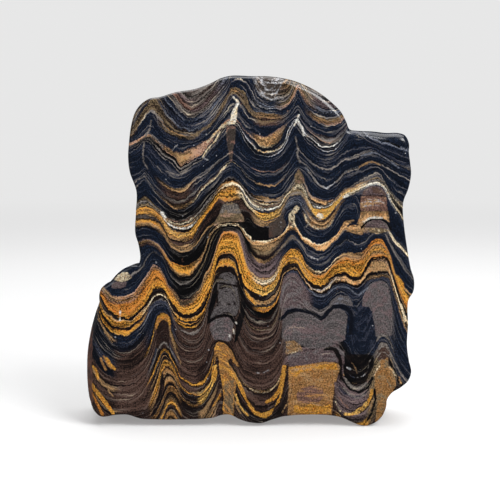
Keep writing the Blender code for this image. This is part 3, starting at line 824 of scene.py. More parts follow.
# %% Sections from the fourth gold to the foot
BEDS.update({
    "fourth_gold_top": {"trough_b": "soot 0"},
    "fourth_gold_foot": {
        "west": "gold 80, soot 100",
        "trough_a": "amber 8, gold 22-82, tan 96, soot 100",
        "column_1": "stone 20, slate 50",
        "trough_b": "gold 10, soot 22-60, gold 80-92, soot 100",
        "limb_b": "ochre 10, soot 22-70, tan 84, soot 100",
        "column_2": "soot 0",
        "trough_c": "gold 14, bark 40, amber 54-80, gold 90, soot 100",
        "column_3": "slate 0",
        "trough_d": "slate 24, steel 40, navy 56",
        "saddle": "slate 20, steel 40, navy 60",
        "column_4": "stone 12, tan 34-78, slate 96",
        "east": "tan 40, slate 80",
    },
    "brown_beds_top": {
        "west": "ink 30, tan 44-52, ink 64",
        "trough_a": "navy 66, slate 76, ink 88",
        "column_1": "slate 14, steel 26, navy 40-60, slate 72, navy 86",
        "trough_b": "soot 14, bark 24, umber 34, stone 42, umber 50, bark 62, umber 72, bark 84, umber 100",
        "column_2": "soot 0",
        "limb_c": "black 24, umber 34, black 48, umber 62, black 74, bark 84, soot 92, olive 100",
        "column_3": "mauve 0",
        "trough_d": "navy 20, slate 30, navy 38, slate 48, navy 60",
        "column_4": "slate 30, navy 60",
        "east": "navy 40, slate 52, navy 64",
    },
    "inner_arch_top": {
        "west": "ink 60, slate 100",
        "trough_a": "ink 8, umber 20, bark 30, soot 42, bark 54, umber 62, soot 74, bark 86, soot 100",
        "column_1": "navy 40, slate 56, ink 80, soot 100",
        "trough_b": "umber 0, bark 14, umber 24, bark 38, soot 46, bark 60, umber 68, bark 82, umber 100",
        "column_2": "soot 0",
        "limb_c": """umber 0, bark 12, soot 20, bark 34, soot 44, bark 58, umber 66, bark 80, soot 90,
            bark 100""",
        "column_3": "ash 80, slate 100",
        "saddle": "navy 30, slate 44, navy 56, slate 70, navy 84",
        "column_4": "ash 90, navy 100",
        "east": "navy 0",
    },
    "block_step": {
        "west": "ink 50, bark 70, soot 100",
        "trough_a": "soot 0, bark 12-40, umber 50, bark 62-88, soot 100",
        "column_1": "gold 8, honey 12, soot 22, umber 36, bark 46, soot 58, bark 74, soot 100",
        "trough_b": "umber 0, bark 14, umber 26, bark 40, soot 48, bark 62, umber 70, bark 84, umber 100",
        "column_2": "umber 0",
        "limb_c": "soot 0, bark 14-26, umber 34, bark 46-58, umber 66, bark 80-94, umber 100",
        "column_3": "ash 0",
        "saddle": "navy 74, black 92",
        "column_4": "navy 20, slate 40, navy 60, stone 84-96, navy 100",
        "east": "navy 0",
    },
    "gold_hairline": {
        "west": "soot 0, tan 20, soot 34, bark 60, soot 100",
        "trough_a": "bark 0",
        "column_1": "slate 20, stone 34, soot 50-84, gold 94",
        "trough_b": "bark 30, umber 44, bark 58-84, soot 92, gold 97",
        "limb_b": "umber 80, soot 90, gold 96",
        "column_2": "umber 0",
        "limb_c": "umber 0, bark 10-40, umber 50, bark 62-88, soot 94, tan 98",
        "column_3": "mauve 0",
        "saddle": "black 60, rose 74-84, soot 100",
        "column_4": "navy 30, slate 50, soot 70, stone 90",
        "east": "navy 60, stone 76-86, navy 100",
    },
    "main_peak": {
        "west": "umber 40, soot 60, tan 70, soot 82",
        "trough_a": "bark 80, umber 100",
        "column_1": "gold 6, soot 12-40, tan 46, soot 54-74, tan 82, gold 92, soot 100",
        "trough_b": "gold 3, soot 12, bark 34-66, soot 80, tan 86, gold 94, soot 100",
        "limb_b": "gold 8, umber 20-60, soot 70, honey 84-98",
        "column_2": "umber 0",
        "limb_c": "tan 2, soot 10, umber 22, bark 44-60, soot 72, umber 84, soot 100",
        "column_3": "umber 0",
        "saddle": "soot 20, tan 44-84, soot 100",
        "column_4": "slate 20, olive 60",
        "east": "navy 60, stone 80, navy 100",
    },
    "inner_peak": {
        "west": "soot 20, bark 50, soot 80",
        "trough_a": "umber 0",
        "column_1": "gold 8, ochre 14, soot 24, ochre 34, tan 42, soot 52-58, tan 66, ochre 74, soot 86",
        "trough_b": "soot 30, umber 50, soot 74, tan 84, ochre 94, soot 100",
        "limb_b": "soot 20, honey 44-70, soot 92",
        "column_2": "umber 0",
        "limb_c": "soot 10, umber 30-60, soot 100",
        "column_3": "umber 0",
        "saddle": "soot 10, mauve 30-60, slate 80, mauve 100",
        "column_4": "olive 0",
        "east": "soot 0",
    },
    "foot": {
        "west": "umber 20, soot 40",
        "trough_a": "umber 40, soot 100",
        "column_1": """ochre 8, soot 16-26, tan 36, gold 42, umber 50, soot 60, ochre 70, soot 82, tan 90,
            soot 100""",
        "trough_b": "soot 14, umber 34-70, mauve 100",
        "limb_b": "soot 10, tan 26, soot 40, tan 60, mauve 100",
        "column_2": "umber 0",
        "limb_c": "soot 14, umber 50",
        "column_3": "umber 0",
        "saddle": "mauve 40, soot 56, gold 70-90, umber 100",
        "column_4": "olive 60, umber 100",
        "east": "soot 0",
    },
})
print("beds in all:", len(BEDS))

# %% [markdown]
# ## Masses and veins
# Some parts of the stone follow no bed: the massive cores of the columns, the block at the lower
# right, the crystal-filled hollows, and the thin veins that healed cracks. A few masses are not the
# stone but painted reflection: a dark window with grey haze beside it, and a milky haze over the
# block, as the polished face mirrors them. They are drawn over the beds as outlines (masses) and as
# lines with half a width (veins), in three layers, because two neighbours that touch must lie in
# different layers. Each has a pigment and a streak pigment, which shows in thin laminae.

# %% Masses: (layer, pigment, streak, outline)
MASSES = {
    "crown_crackled": (1, "loam", "silver", "4,230 3.5,221 6,216 10,213.5 15,212.5 20,222 23,226 22,230"),
    "column_2_clay": (1, "loam", "clay", "-14.5,196 -9.3,196 -9.3,186 -10.3,183 -11.6,173 -12.8,173 -15,190"),
    "white_vein_body": (2, "white", "cream", """-14,197 -12.4,200 -11.4,204.2 -7.9,210.6 -12.2,216 -7.6,212
        -6.4,210.2 -8,206.8 -8.6,199.4 -9.4,197"""),
    "column_3_peak": (1, "olive", "clay", "31,168.5 33.6,164.5 35,160 32,158.5 28.5,160 28.8,164.5"),
    "column_2_speckled": (0, "stone", "olive", "-17.2,145.4 -12,147 -8,146.2 -5.4,139.4 -12,139 -19.4,139.6"),
    "column_2_speckled_foot": (1, "olive", "rose", """-19.2,140 -12,140.2 -5.6,139.8 -4,137.6 -3.6,134.8
        -8,134.6 -13,135 -18,134.2 -23.4,131.6"""),
    "crystal_limb_b": (1, "white", "silver", "-57.4,141.6 -55,140.6 -53,137.2 -54.4,136.4 -56.6,139.2"),
    "crystals_column_3": (1, "cream", "bark", """24.8,132 25.2,136 24.9,139 28,143.4 30.2,145 32,143.4
        30.4,141 28.6,139.6 28.2,133 30.4,130.4"""),
    "trough_d_crystal": (2, "white", "cream", "42.6,138.4 44.6,136.6 47.4,137.4 46.6,139.4 44,140.4"),
    "trough_d_gold": (1, "honey", "gold", """39,146 41,142.6 45,142.2 49,142.4 52,144.4 58,151 61,152.4 61,151
        58,148.4 51,139.8 48,136.8 45.5,135.8 42.6,137.6 40,141.4"""),
    # painted reflection: these two marks paint a dark window mirrored in the polished face as a black patch,
    # with its grey haze beside it
    "painted_dark_window_reflection": (0, "black", "black", "1,122.5 12,122.5 12,130.5 1,130.5"),
    "painted_window_reflection_haze": (1, "loam", "bark", "12.4,124 20,126.4 23.4,133 21,139 17,136 12.4,133.6"),
    "column_4_grey": (0, "mauve", "bark", "71.4,151.6 73.6,155.4 78,157.4 83,157.2 86.4,154 87,151.6"),
    "column_4_clay": (1, "clay", "tan", "70.8,141.6 70.6,151 76,151.4 84,151.2 86.8,150.4 88,141.6"),
    "column_4_peach": (0, "tan", "peach", """68.6,133.4 70.4,137 70.8,141.2 78,141.6 88.2,141.2 89.6,134
        87.4,135.6 84,137.2 78,137 74,135.4 71.4,132"""),
    "column_4_lower_grey": (1, "mauve", "stone", """73.4,131 75,134.2 79,135.8 84,135.6 87.4,133.4 89,129.6
        86,130.4"""),
    "column_4_olive_foot": (0, "olive", "cream", "76.4,127.8 76,131 80,131.6 87,131.2 88.6,128.4 82,127.2"),
    "hollow_white": (1, "cream", "bark", """-87.5,97 -85,99.8 -82,101.6 -79,101.8 -75.6,98.8 -79,96.6
        -83,95.8"""),
    "hollow_mauve": (0, "mauve", "stone", "-89,92 -88,95 -84,96 -79.5,95.4 -80,92.6 -84,91"),
    "column_1_head": (1, "gold", "rind", """-61.2,62 -61,68 -59.4,73 -56.4,75.4 -53.4,74.4 -51.6,71.4
        -51.4,65.6 -53,69.4 -55.4,71 -58,70.2 -59.8,67"""),
    "column_1_core": (0, "umber", "soot", "-60.3,52 -60.3,62 -59.4,69 -56.6,72.8 -54,72 -52.8,69 -51.8,52"),
    "column_1_gap": (0, "soot", "umber", """-57.3,36.4 -56.2,35 -55.4,30 -55.6,25.6 -57,20 -61.8,8 -64.2,8
        -59.6,21 -58.4,27"""),
    "column_2_east_flank": (2, "black", "soot", """-7.5,100 -6,92 -5.6,84 -6,76 -8.4,71 -9.8,56 -8.6,57
        -4.6,68 -3,76 -2.8,84 -5.5,101"""),
    "column_2_west_flank": (2, "black", "soot", """-21.8,100 -27,76 -27.6,68 -26.6,68 -25.8,72 -21.6,84
        -20.6,99"""),
    "column_2_upper_core": (0, "ash", "soot", """-21,97 -19,100 -16,101.6 -13,101.6 -10,99.6 -8.4,96 -8,90
        -7,85 -7,80 -9,73.5 -17,75.2 -22,73.8 -26,71 -25,75 -22,79 -20.5,82 -20,88"""),
    "column_2_lower_core": (1, "ash", "mauve", """-25.5,69 -22,71.4 -17,72.8 -13,72.3 -10.6,68.5 -12,57.5
        -14.5,56.6 -20,58.4 -22.6,57.5 -24,60 -25.4,64"""),
    "column_2_gold": (0, "ochre", "gold", """-22.4,53.4 -20.6,56.4 -17,55.4 -14,53.4 -12,50.5 -6.6,39.4
        -8.2,40 -11,43.4 -12.6,46.4 -14,43.6 -13.4,41 -10.6,37.4 -8.2,33 -10.4,19 -10.6,3 -18,2 -16.9,20
        -18.6,34 -20,38.6 -19.8,44 -21.4,47.6 -23,41 -23,48"""),
    "column_2_olive_foot": (1, "olive", "ochre", "-16.6,12 -16.2,20 -16.6,30 -10.4,31 -11.2,8"),
    # painted reflection: a pale milky haze mirrored over the block's upper corner, painted as a mauve-grey
    # mass
    "painted_block_reflection_haze": (1, "mauve", "ash", "19.5,78 20,90 22,96 27,98.6 32,96.5 38,84 40,78.2 34,79 28,79"),
    "block_grey": (0, "ash", "mauve", """20.5,58.5 21.5,72.5 25,74.6 30,75.8 36,74.8 41,71.8 45,70 48,71.6
        51,75 54,77.2 58,77.8 61,76.4 63,73 61.5,58 50,52.5 38,52 28,57.5"""),
    "block_mauve": (1, "mauve", "ash", """24.6,47.6 34,50.6 40,50.8 48,52.4 56,53 61,50 61,41.6 56,43 48,43.4
        32,40.8 25.6,40.2"""),
    "block_gold_patch": (2, "tan", "stone", "23.2,48 24,57 29,57 33,54 34,50.6 28.6,49.6"),
    "block_ochre": (0, "ochre", "tan", "24.4,0 25.4,26 25,39.6 48,43.4 56.6,42.4 58,38 55,26.6 54,19 53,0"),
    "block_gold_foot": (1, "gold", "ochre", "28.6,10 29.4,14.6 34,13 40,15.6 47,13.4 52.6,15 52.6,9 40,8"),
    "block_gold_head": (1, "gold", "tan", "25.6,34 26,39.6 44,41.4 56,42 57,38 44,38.4 34,36.8 30,33.4"),
    "block_brown_heart": (1, "clay", "ochre", """31,16.4 30.4,22 34,26 41,27.4 47,25.6 48.6,20 45,16.6
        38,15.6"""),
    "block_east_dark": (2, "soot", "black", """47,51 51,53.4 56,52.4 58.8,48 60,41 60.4,33 58.4,30.4 58.6,39
        57.2,45 54,50.4"""),
    "column_4_core": (1, "ash", "mauve", """73,86 76,91 79,94.6 83,96 87,95.4 89,92 91.5,78 92,70 91.4,60
        86,62.6 81.6,60 81,66 79,76 76.6,79.4 72.6,80"""),
    "column_4_inner_navy": (0, "navy", "slate", "66,50 65,60 66.5,70 68.5,77 73,82 79,80 81,72 83,52 78,49"),
    "saddle_cap": (0, "ash", "steel", "51,80.6 53.6,84.4 58,87 63.4,86 66.4,82 66,79.6 60,81.4"),
    "column_4_brown_gold": (1, "ochre", "olive", """84.6,44.6 85,41.4 82.4,38.8 80.9,34.4 81.6,30.4 81,25.4
        81.8,20.4 83.2,16.6 82.6,10 82,3 90,4 92.6,14 93.4,24 95,28 94,34 91.2,38.8 89.8,42 89,46.4
        87.4,44.4"""),
    "column_4_foot_cap": (0, "bark", "stone", """81.5,48 83.4,52 86,55.4 87.6,55.4 89.6,51.6 91.4,47 90,43
        87,44 84,43.4"""),
    "black_trough": (0, "black", "soot", """59.6,46.5 66,48.4 74,48.4 80,47 80.8,41 75.6,31.6 72,28.8 68,28.8
        64.4,30 61.4,33 60.2,39"""),
    "limb_b_lens": (1, "gold", "honey", "-24.2,29 -22,31 -21.2,36 -21.8,41.4 -24,40.4 -24.8,35"),
    "trough_c_gold": (1, "gold", "honey", """-12.4,38.6 -6,29 -2,19 1,14 4,10.5 8,9 12,10.2 16,12.8 19,16.4
        21,22 23.6,38 21.6,34 19.2,20 14,8.6 11,6.2 8,6.2 4,7.6 1,10.6 -5,21.6"""),
    "foot_dark_notch": (2, "black", "soot", "90.2,46.4 91.8,42.4 93.2,39 89.8,40.6"),
}
DARK_RIMMED = {"column_2_speckled", "column_2_upper_core", "column_2_gold", "column_1_head"}

# %% Veins, layer by layer: (pigment, half width, line)
VEINS = {
    1: (
        ("ink", 1.2, """20,71.6 22,73.2 25,76.4 30,77.4 35,76.8 40,75.5 46,71.7 48,73 51,76.5 54,79.3 58,79.8
         62,78.8 65,75.6 66,70 65,62"""),
        ("honey", 0.7, "62,8.4 66,8.4 70,9.6"),
        ("honey", 1.4, "70,10 73.6,12.4 76.4,15.6"),
        ("gold", 0.9, "76.8,16 78.6,20 79.4,24.6"),
        ("ochre", 0.6, "-96.6,45.6 -95.4,42 -93.4,38"),
        ("gold", 0.7, "-93,45.6 -90.6,42 -87.6,38.4"),
        ("ochre", 0.5, "-94.6,47 -92.4,42 -90,39"),
    ),
    2: (
        ("stone", 0.4, "-62.5,199 -63.5,194 -66,189.5"),
        ("stone", 0.35, "-67,186 -68,178 -67.5,173 -65,168.5"),
        ("stone", 0.4, "-62,190 -58,186 -55,182"),
        ("silver", 0.1, "-46,184 -48.4,181.6 -49,179.5"),
        ("silver", 0.25, "-29,175.5 -26.5,174"),
        ("cream", 0.45, "-14.5,197.5 -19,194.5 -27,185.5"),
        ("cream", 0.35, "-19,192 -22,186.5 -27,181 -30,176"),
        ("cream", 0.25, "-26,159.6 -22,162.8 -15,170.6"),
        ("white", 0.35, "-55,137 -51.6,133 -48,131.2 -44,130.4 -40,130.5 -36.6,132.4"),
        ("soot", 0.35, "22,152 26,155.2 30,156.4 34,155 41,143.8"),
        ("black", 0.9, "60.4,32 65,25.4 71,22.8 76.6,26.4 79.6,32.6"),
        ("stone", 0.4, "61,26 65,21.4 70,19.2 75,22"),
        ("white", 0.5, "28,196 30,199.4 33,195 34.4,190"),
        ("white", 0.45, "30,199 31,203"),
        ("stone", 0.35, "29,189 30,184 31,181 30,178 32,172.5"),
        ("silver", 0.15, "4,224 7,218 10,214 15,212.6 17,217 20,222"),
        ("silver", 0.15, "6,226 9,221 12,218 16,221 18,225"),
        ("black", 0.5, "82,187 88,186 95,182.5"),
        ("steel", 0.4, "71,177 78,179 82,178 92,171.5 95,169"),
        ("tan", 0.4, "70,170 76,173 80,172.5 83,171"),
        ("stone", 0.35, "-53,167 -46,164.5 -42,166.5 -38,170"),
        ("stone", 0.35, "37,167 40,164 42,160 45,157.5 50,155.5"),
        ("stone", 0.35, "55,160 60,165.5 63,167 69,168.5"),
        ("stone", 0.35, "16,113 27,124 30,123 33,120 35,117"),
        ("tan", 0.45, "60,132.6 61.6,134.6 66.4,135.3"),
        ("navy", 0.5, "62.6,131.6 64,133 67.6,133.4"),
        ("tan", 0.4, "58.6,131 62,129.8 66,127.8 70,126.6 71.8,127 72,128.8 70,129.4"),
        ("peach", 0.25, "57.6,127 59,130 61.4,131 65,129.6 69,130.2 70,133 73,136.2"),
        ("soot", 0.2, "59,128.4 63,128.2 67,128.6 70.4,128"),
        ("umber", 0.35, "39,140 41,137 43.6,134.8 47,134.8 50,136.6 55,143"),
        ("cream", 0.35, "35,139.4 36.4,135.4 39,132.2 43,130.2 47,130.2 51,132.4 53.4,136"),
        ("umber", 0.2, "36.6,138 39,134 43,131.6 47.4,131.6 51,134.4 53.6,138.6"),
        ("peach", 0.3, "38.4,137.6 41,134.4 44.6,132.8 48,133 51.6,136.6"),
        ("black", 0.35, "26.9,139.4 27.4,138"),
        ("black", 0.35, "26.2,136 27.2,134.6"),
        ("black", 0.35, "27.4,132.4 28,131.2"),
        ("white", 0.45, "73,134.6 76,136.6 80,137.4 84.6,137"),
        ("black", 0.6, "71.6,131 75,135 79,136.4 84,136.2 88,134 90.4,129.5"),
        ("soot", 0.2, "70.8,151.2 76,151.7 82,151.5 86.6,150.9"),
        ("silver", 0.15, "72,147 75,147.8 79,147.2 82.6,148 86,146.6"),
        ("silver", 0.1, "74,149.4 78,148.8 81,149.4 84,148.4"),
        ("silver", 0.1, "72.4,144.6 77,145.2 83,144.8"),
        ("stone", 0.4, "87,127 89,122 94,112"),
        ("cream", 0.5, "90,127 93,122 100,115"),
        ("white", 0.6, "59.8,150.6 63,151.7"),
        ("white", 0.4, "-83.5,76.5 -84,70.5"),
        ("tan", 0.4, "-98,71 -95,67 -93,62 -89,56"),
        ("tan", 0.45, "-51.8,66 -51,61 -47.4,49 -44.6,42"),
        ("stone", 0.5, "-58.4,52.6 -57,55 -55.4,55.9 -54,55.2 -52.8,52.6"),
        ("umber", 0.5, "-58.8,60 -57.4,63 -56,64 -54.4,63 -53.2,60"),
        ("steel", 0.35, "38,91 42,87 46,86 50,87.5 53,90.5 57,92.5 60,92.5 64,91.5 68,88 70,87 73,89 76,92"),
        ("stone", 0.4, "82,57 84,60 87,60.5 90,58"),
        ("gold", 0.9, "95,99 98,94 99,88 101,83"),
        ("cream", 0.6, "97,81 99,76 100,70"),
        ("soot", 0.55, "-20.4,95 -8,93"),
        ("black", 0.7, "-26.6,69 -22,72.6 -17,74 -13,73.5 -9.8,69"),
        ("white", 0.5, "-8.7,69.4 -8.3,68.6"),
        ("white", 0.5, "-10.7,64.4 -10.3,62.4"),
        ("white", 0.5, "-13.2,60.9 -12.8,59.9"),
        ("gold", 0.7, "-101.5,40 -99.5,37 -98.5,32"),
        ("gold", 1.1, "-104,29 -96,19 -89,9"),
        ("amber", 0.7, "-104.5,24 -101,19 -98,13 -96,8"),
        ("tan", 0.4, "-96,28.5 -93,27 -91,23 -89,20.5"),
        ("gold", 0.5, "-19,22 -21,18 -24,14"),
        ("tan", 0.2, "-18.5,25 -23.6,11"),
        ("umber", 0.6, "-19.4,30 -21.4,22 -26,12"),
        ("umber", 0.4, "-18.2,20 -22,8"),
        ("gold", 1.1, "22.3,40 20.8,31 19.4,25 17.2,21 14,18 11,16.6"),
        ("cream", 0.15, "0,25.4 4,23.6 9,22.7 12,23.4 16,26.6 19,32"),
        ("silver", 0.1, "3,36.4 7,35.4 9.6,36.2 12.4,37.8"),
        ("honey", 0.5, "-9,21.4 -7.6,16 -5,11.6 -1,7.4"),
        ("tan", 0.25, "-9.6,17 -8.4,13 -6,9"),
        ("tan", 0.25, "23.6,57 23.9,52 23.8,46.6"),
        ("cream", 0.2, "23.8,48 27,48.8 31,50.4"),
        ("navy", 0.5, "31,142 33.6,137 34,131 32.4,128"),
        ("stone", 0.3, "34,141 37,137.6 38,134 36,131"),
        ("umber", 0.2, "60,106.5 68.6,100.8 72,101 74,102.6"),
        ("cream", 0.15, "55,19 56.8,14 59,10.4"),
        ("clay", 0.6, "57.4,21 60.4,16.4 64,13"),
        ("tan", 0.3, "26,22.4 24.6,16 21.4,9.6"),
        ("umber", 0.15, "27,22 27.4,27 29.6,28.7 34,28.2 39,29"),
        ("tan", 0.1, "65.6,43 67.4,41 69.4,37 70,33.6"),
        ("silver", 0.35, "63.2,39.4 65,38.4"),
        ("silver", 0.25, "69.6,32.9 72,33.2 74.6,34.6"),
        ("stone", 0.15, "74.6,34.6 76.6,38 77,42 78.4,44.6"),
        ("slate", 0.3, "65.4,34 68,32.7"),
        ("mauve", 0.3, "60,41 60.4,34 61.6,31"),
        ("stone", 1.0, "61.6,31.4 64.4,27.8 68,25.8 72,26 75,28.4"),
        ("mauve", 1, "55.6,29 57,22 62,16 68,12.6"),
        ("cream", 0.2, "84.4,40.4 82.4,38.2 80.9,34.4"),
        ("cream", 0.25, "90.4,39.6 93,37 95.2,32.6"),
        ("soot", 0.5, "90.6,43.4 92.6,39.8 95.4,35 96.8,29.4"),
        ("peach", 0.3, "97,33 98.2,29"),
        ("stone", 0.2, "91,49 93.4,43.4 96.4,38 98.6,33"),
        ("black", 0.7, "81,25 81.8,19 80.6,14 79,9 77,5"),
        ("tan", 0.3, "79.6,18 79,14 77.4,10"),
        ("umber", 0.3, "74,13.6 75.4,12"),
        ("umber", 0.3, "76,16.8 77.6,15.8"),
        ("umber", 0.3, "71.2,10.8 72.6,9.8"),
        ("stone", 0.4, "83.6,51.6 86.4,55 88,54.6 90.2,51"),
    ),
}
print("masses:", len(MASSES), " veins:", sum(map(len, VEINS.values())))

# %% [markdown]
# ## From contacts to values on the points
# A point's age is a single number: the count of contacts above it, plus its share of the way to the
# next one. Stored on every point, it lets the material draw each band as sharply as the render
# needs, however the beds fold. Behind the polished face the folds run on through the stone, with a
# slow drift, so the sides and the back show their own cut through the same columns.

# %% Evaluate the contacts as monotone curves
CROWN_ROOM = 24.0
FOOT_ROOM = 26.0
THINNEST_BED = 0.3


def monotone_curve(points, x):
    xs, zs = points.T
    step = np.diff(xs)
    rise = np.diff(zs) / step
    slope = np.zeros_like(xs)
    near, far = 2 * step[1:] + step[:-1], step[1:] + 2 * step[:-1]
    same_way = rise[1:] * rise[:-1] > 0
    safe = np.where(same_way, rise[:-1], 1.0), np.where(same_way, rise[1:], 1.0)
    slope[1:-1] = np.where(same_way, (near + far) / (near / safe[0] + far / safe[1]), 0.0)
    slope[0], slope[-1] = rise[0], rise[-1]
    x = np.clip(x, xs[0], xs[-1])
    k = np.clip(np.searchsorted(xs, x, side="right") - 1, 0, len(step) - 1)
    t = (x - xs[k]) / step[k]
    start = zs[k] * (1 + 2 * t) * (1 - t) ** 2 + slope[k] * step[k] * t * (1 - t) ** 2
    end = zs[k + 1] * t * t * (3 - 2 * t) + slope[k + 1] * step[k] * t * t * (t - 1)
    return start + end


def contact_heights(x):
    """Heights of all contacts at each x, the highest first, with a margin above and below."""
    heights = [monotone_curve(places(contact), x) for contact in CONTACTS.values()]
    heights = [heights[0] + CROWN_ROOM] + heights
    for k in range(1, len(heights)):
        heights[k] = np.minimum(heights[k], heights[k - 1] - THINNEST_BED)
    return np.array(heights + [heights[-1] - FOOT_ROOM])


def bed_age(x, z):
    heights = contact_heights(x)
    shares = (heights[:-1] - z) / (heights[:-1] - heights[1:])
    age = np.clip(shares, 0.0, 1.0).sum(axis=0)
    inside = np.clip(age.astype(int), 0, len(heights) - 2)
    spread = (heights[:-1] - heights[1:])[inside, np.arange(len(x))]
    typical = np.median(heights[:-1] - heights[1:], axis=1)
    depth = np.interp(age, np.arange(len(typical) + 1), np.concatenate([[0.0], np.cumsum(typical)]))
    return age, spread, depth


# %% Carry the pattern through the thickness
DRIFT_X = 9.0
DRIFT_Z = 7.0
DRIFT_LENGTH = 60.0
EAST_SHIFT = 3.0
SWAY_OF_RISE, STEADY_RISE = 0.5, 0.4


def on_face(points):
    """The place on the polished face whose beds pass through each point."""
    depth = points[:, 1] - FRONT_Y
    sway = lumps(points, DRIFT_LENGTH)
    share = depth / BASE_THICKNESS
    x = points[:, 0] + DRIFT_X * share * sway + EAST_SHIFT * share
    z = points[:, 2] + DRIFT_Z * share * (SWAY_OF_RISE * sway + STEADY_RISE)
    return x, z


face_x, face_z = on_face(stone_points)
age, spread, bed_depth = bed_age(face_x, face_z)
print("age from", round(age.min(), 2), "to", round(age.max(), 2), "beds")

# %% Shares of the stations at each point
SOFT_ABOVE, SHARP_BELOW = 110, 60
SHARP_HELD, SOFT_HELD = 0.36, 0.2  # share of the gap on each side that keeps its own section
CHANNELS = 3


def station_shares(x, z):
    """How much of each station's section shows; the troughs near the foot have sharp flanks."""
    lines = [np.interp(z, *np.array(line, float).T) for line in STATIONS.values()]
    held = np.interp(z, (SHARP_BELOW, SOFT_ABOVE), (SHARP_HELD, SOFT_HELD))
    rising = []
    for left, right in zip(lines, lines[1:]):
        reach = held * (right - left)
        rising.append(smooth_step(left + reach, right - reach, x))
    rising = [np.ones_like(x)] + rising + [np.zeros_like(x)]
    return np.array([here - after for here, after in zip(rising, rising[1:])])


shares = station_shares(face_x, face_z)
point_values = {"bed_age": age, "bed_spread": spread, "bed_depth": bed_depth}
for first in range(0, len(shares), CHANNELS):
    group = shares[first:first + CHANNELS]
    group = np.vstack([group, np.zeros((CHANNELS + 1 - len(group), len(face_x)))])
    group[CHANNELS] = 1.0
    point_values[f"stations_{first // CHANNELS}"] = group.T
print("values on each point:", sorted(point_values))

# %% Signed distances to the masses and veins, layer by layer
MARK_REACH = 4.0
LAYERS = 3


def to_segments(points, starts, ends):
    """The distance from each point to the nearest of the segments."""
    along = ends - starts
    offset = points[:, None] - starts[None]
    share = np.clip((offset * along).sum(-1) / (along * along).sum(-1), 0.0, 1.0)
    return np.linalg.norm(offset - share[..., None] * along, axis=-1).min(axis=1)


def inside(points, corners):
    """Whether each point lies in the closed outline, by counting crossings."""
    starts, ends = corners, np.roll(corners, -1, axis=0)
    x, z = points[:, :1], points[:, 1:]
    crosses = (starts[:, 1] > z) != (ends[:, 1] > z)
    rise = np.where(ends[:, 1] == starts[:, 1], 1e-9, ends[:, 1] - starts[:, 1])
    at = starts[:, 0] + (z - starts[:, 1]) / rise * (ends[:, 0] - starts[:, 0])
    return (crosses & (x < at)).sum(axis=1) % 2 == 1


def near(points, line, reach):
    low, high = line.min(axis=0) - reach, line.max(axis=0) + reach
    return np.flatnonzero(((points > low) & (points < high)).all(axis=1))


def marks_of(layer):
    """(pigment, streak, rim, half width, line) of the layer; a mass has no half width."""
    marks = [(*mark[1:3], float(name in DARK_RIMMED), None, mark[3])
             for name, mark in MASSES.items() if mark[0] == layer]
    marks += [(pigment, pigment, 0.0, half_width, line) for pigment, half_width, line in VEINS.get(layer, ())]
    return marks


def mark_values(points, layer):
    cover = np.full(len(points), -MARK_REACH)
    colours = np.zeros((2, len(points), 4))
    for pigment, streak, rim, half_width, line in marks_of(layer):
        line = places(line)
        around_it = near(points, line, MARK_REACH)
        close = points[around_it]
        if half_width is None:
            distance = to_segments(close, line, np.roll(line, -1, axis=0))
            distance = np.where(inside(close, line), distance, -distance)
        else:
            distance = half_width - to_segments(close, line[:-1], line[1:])
        wins = distance > cover[around_it]
        chosen = around_it[wins]
        cover[chosen] = np.minimum(distance[wins], MARK_REACH)
        colours[0, chosen, :3] = linear(pigment)
        colours[0, chosen, 3] = rim
        colours[1, chosen, :3] = linear(streak)
    return cover, colours


face_points = np.stack([face_x, face_z], axis=1)
for layer in range(LAYERS):
    cover, colours = mark_values(face_points, layer)
    point_values[f"mark_{layer}"] = cover
    point_values[f"mark_{layer}_pigment"] = colours[0]
    point_values[f"mark_{layer}_streak"] = colours[1]
    print("layer", layer, "covers", round((cover > 0).mean() * 100, 1), "percent of the points")

# %% The weathered rind: on the west flank, along the foot and in the hollows of the back
# each pair says where the rind begins and where it is full; the west pairs measure -x and -z
RIND_WEST_X = (101.6, 103.2)
RIND_WEST_Z = (-72, -60)
RIND_FACING_DOWN = (0.5, 0.9)
RIND_BEHIND_RIM = (0.8, 2.6)
RIND_PATCH_LENGTH = 26.0
RIND_PATCHES = (0.25, 0.8)
RIND_DEPTH_SHARE = (0.35, 0.8)
RIND_ON_BACK = 0.8


def rind_share(points):
    x, y, z = points.T
    west = smooth_step(*RIND_WEST_X, -x) * smooth_step(*RIND_WEST_Z, -z)
    facing_down = np.tile(smooth_step(*RIND_FACING_DOWN, around[2][:, 1]), len(rings))
    foot = smooth_step(*(FRONT_Y + limit for limit in RIND_BEHIND_RIM), y)
    foot[:len(facing_down)] *= facing_down
    foot[len(facing_down):] = 0.0
    hollow = smooth_step(*RIND_PATCHES, lumps(points, RIND_PATCH_LENGTH))
    hollow *= smooth_step(*RIND_DEPTH_SHARE, (y - FRONT_Y) / BASE_THICKNESS)
    return np.maximum.reduce([west, foot, RIND_ON_BACK * hollow])


point_values["rind"] = rind_share(stone_points)
print("rind covers", round((point_values["rind"] > 0.5).mean() * 100, 1), "percent of the points")

# %% [markdown]
# ## The polished stone's material
# One material paints all the beds. For every station a few colour ramps hold its section from
# crown to foot, and the age picks the place on them. A ramp takes at most 32 colours, so a section
# is cut into as many ramps as it needs. Each section sits in a node group of its own, which keeps
# the material's main tree small enough to read.

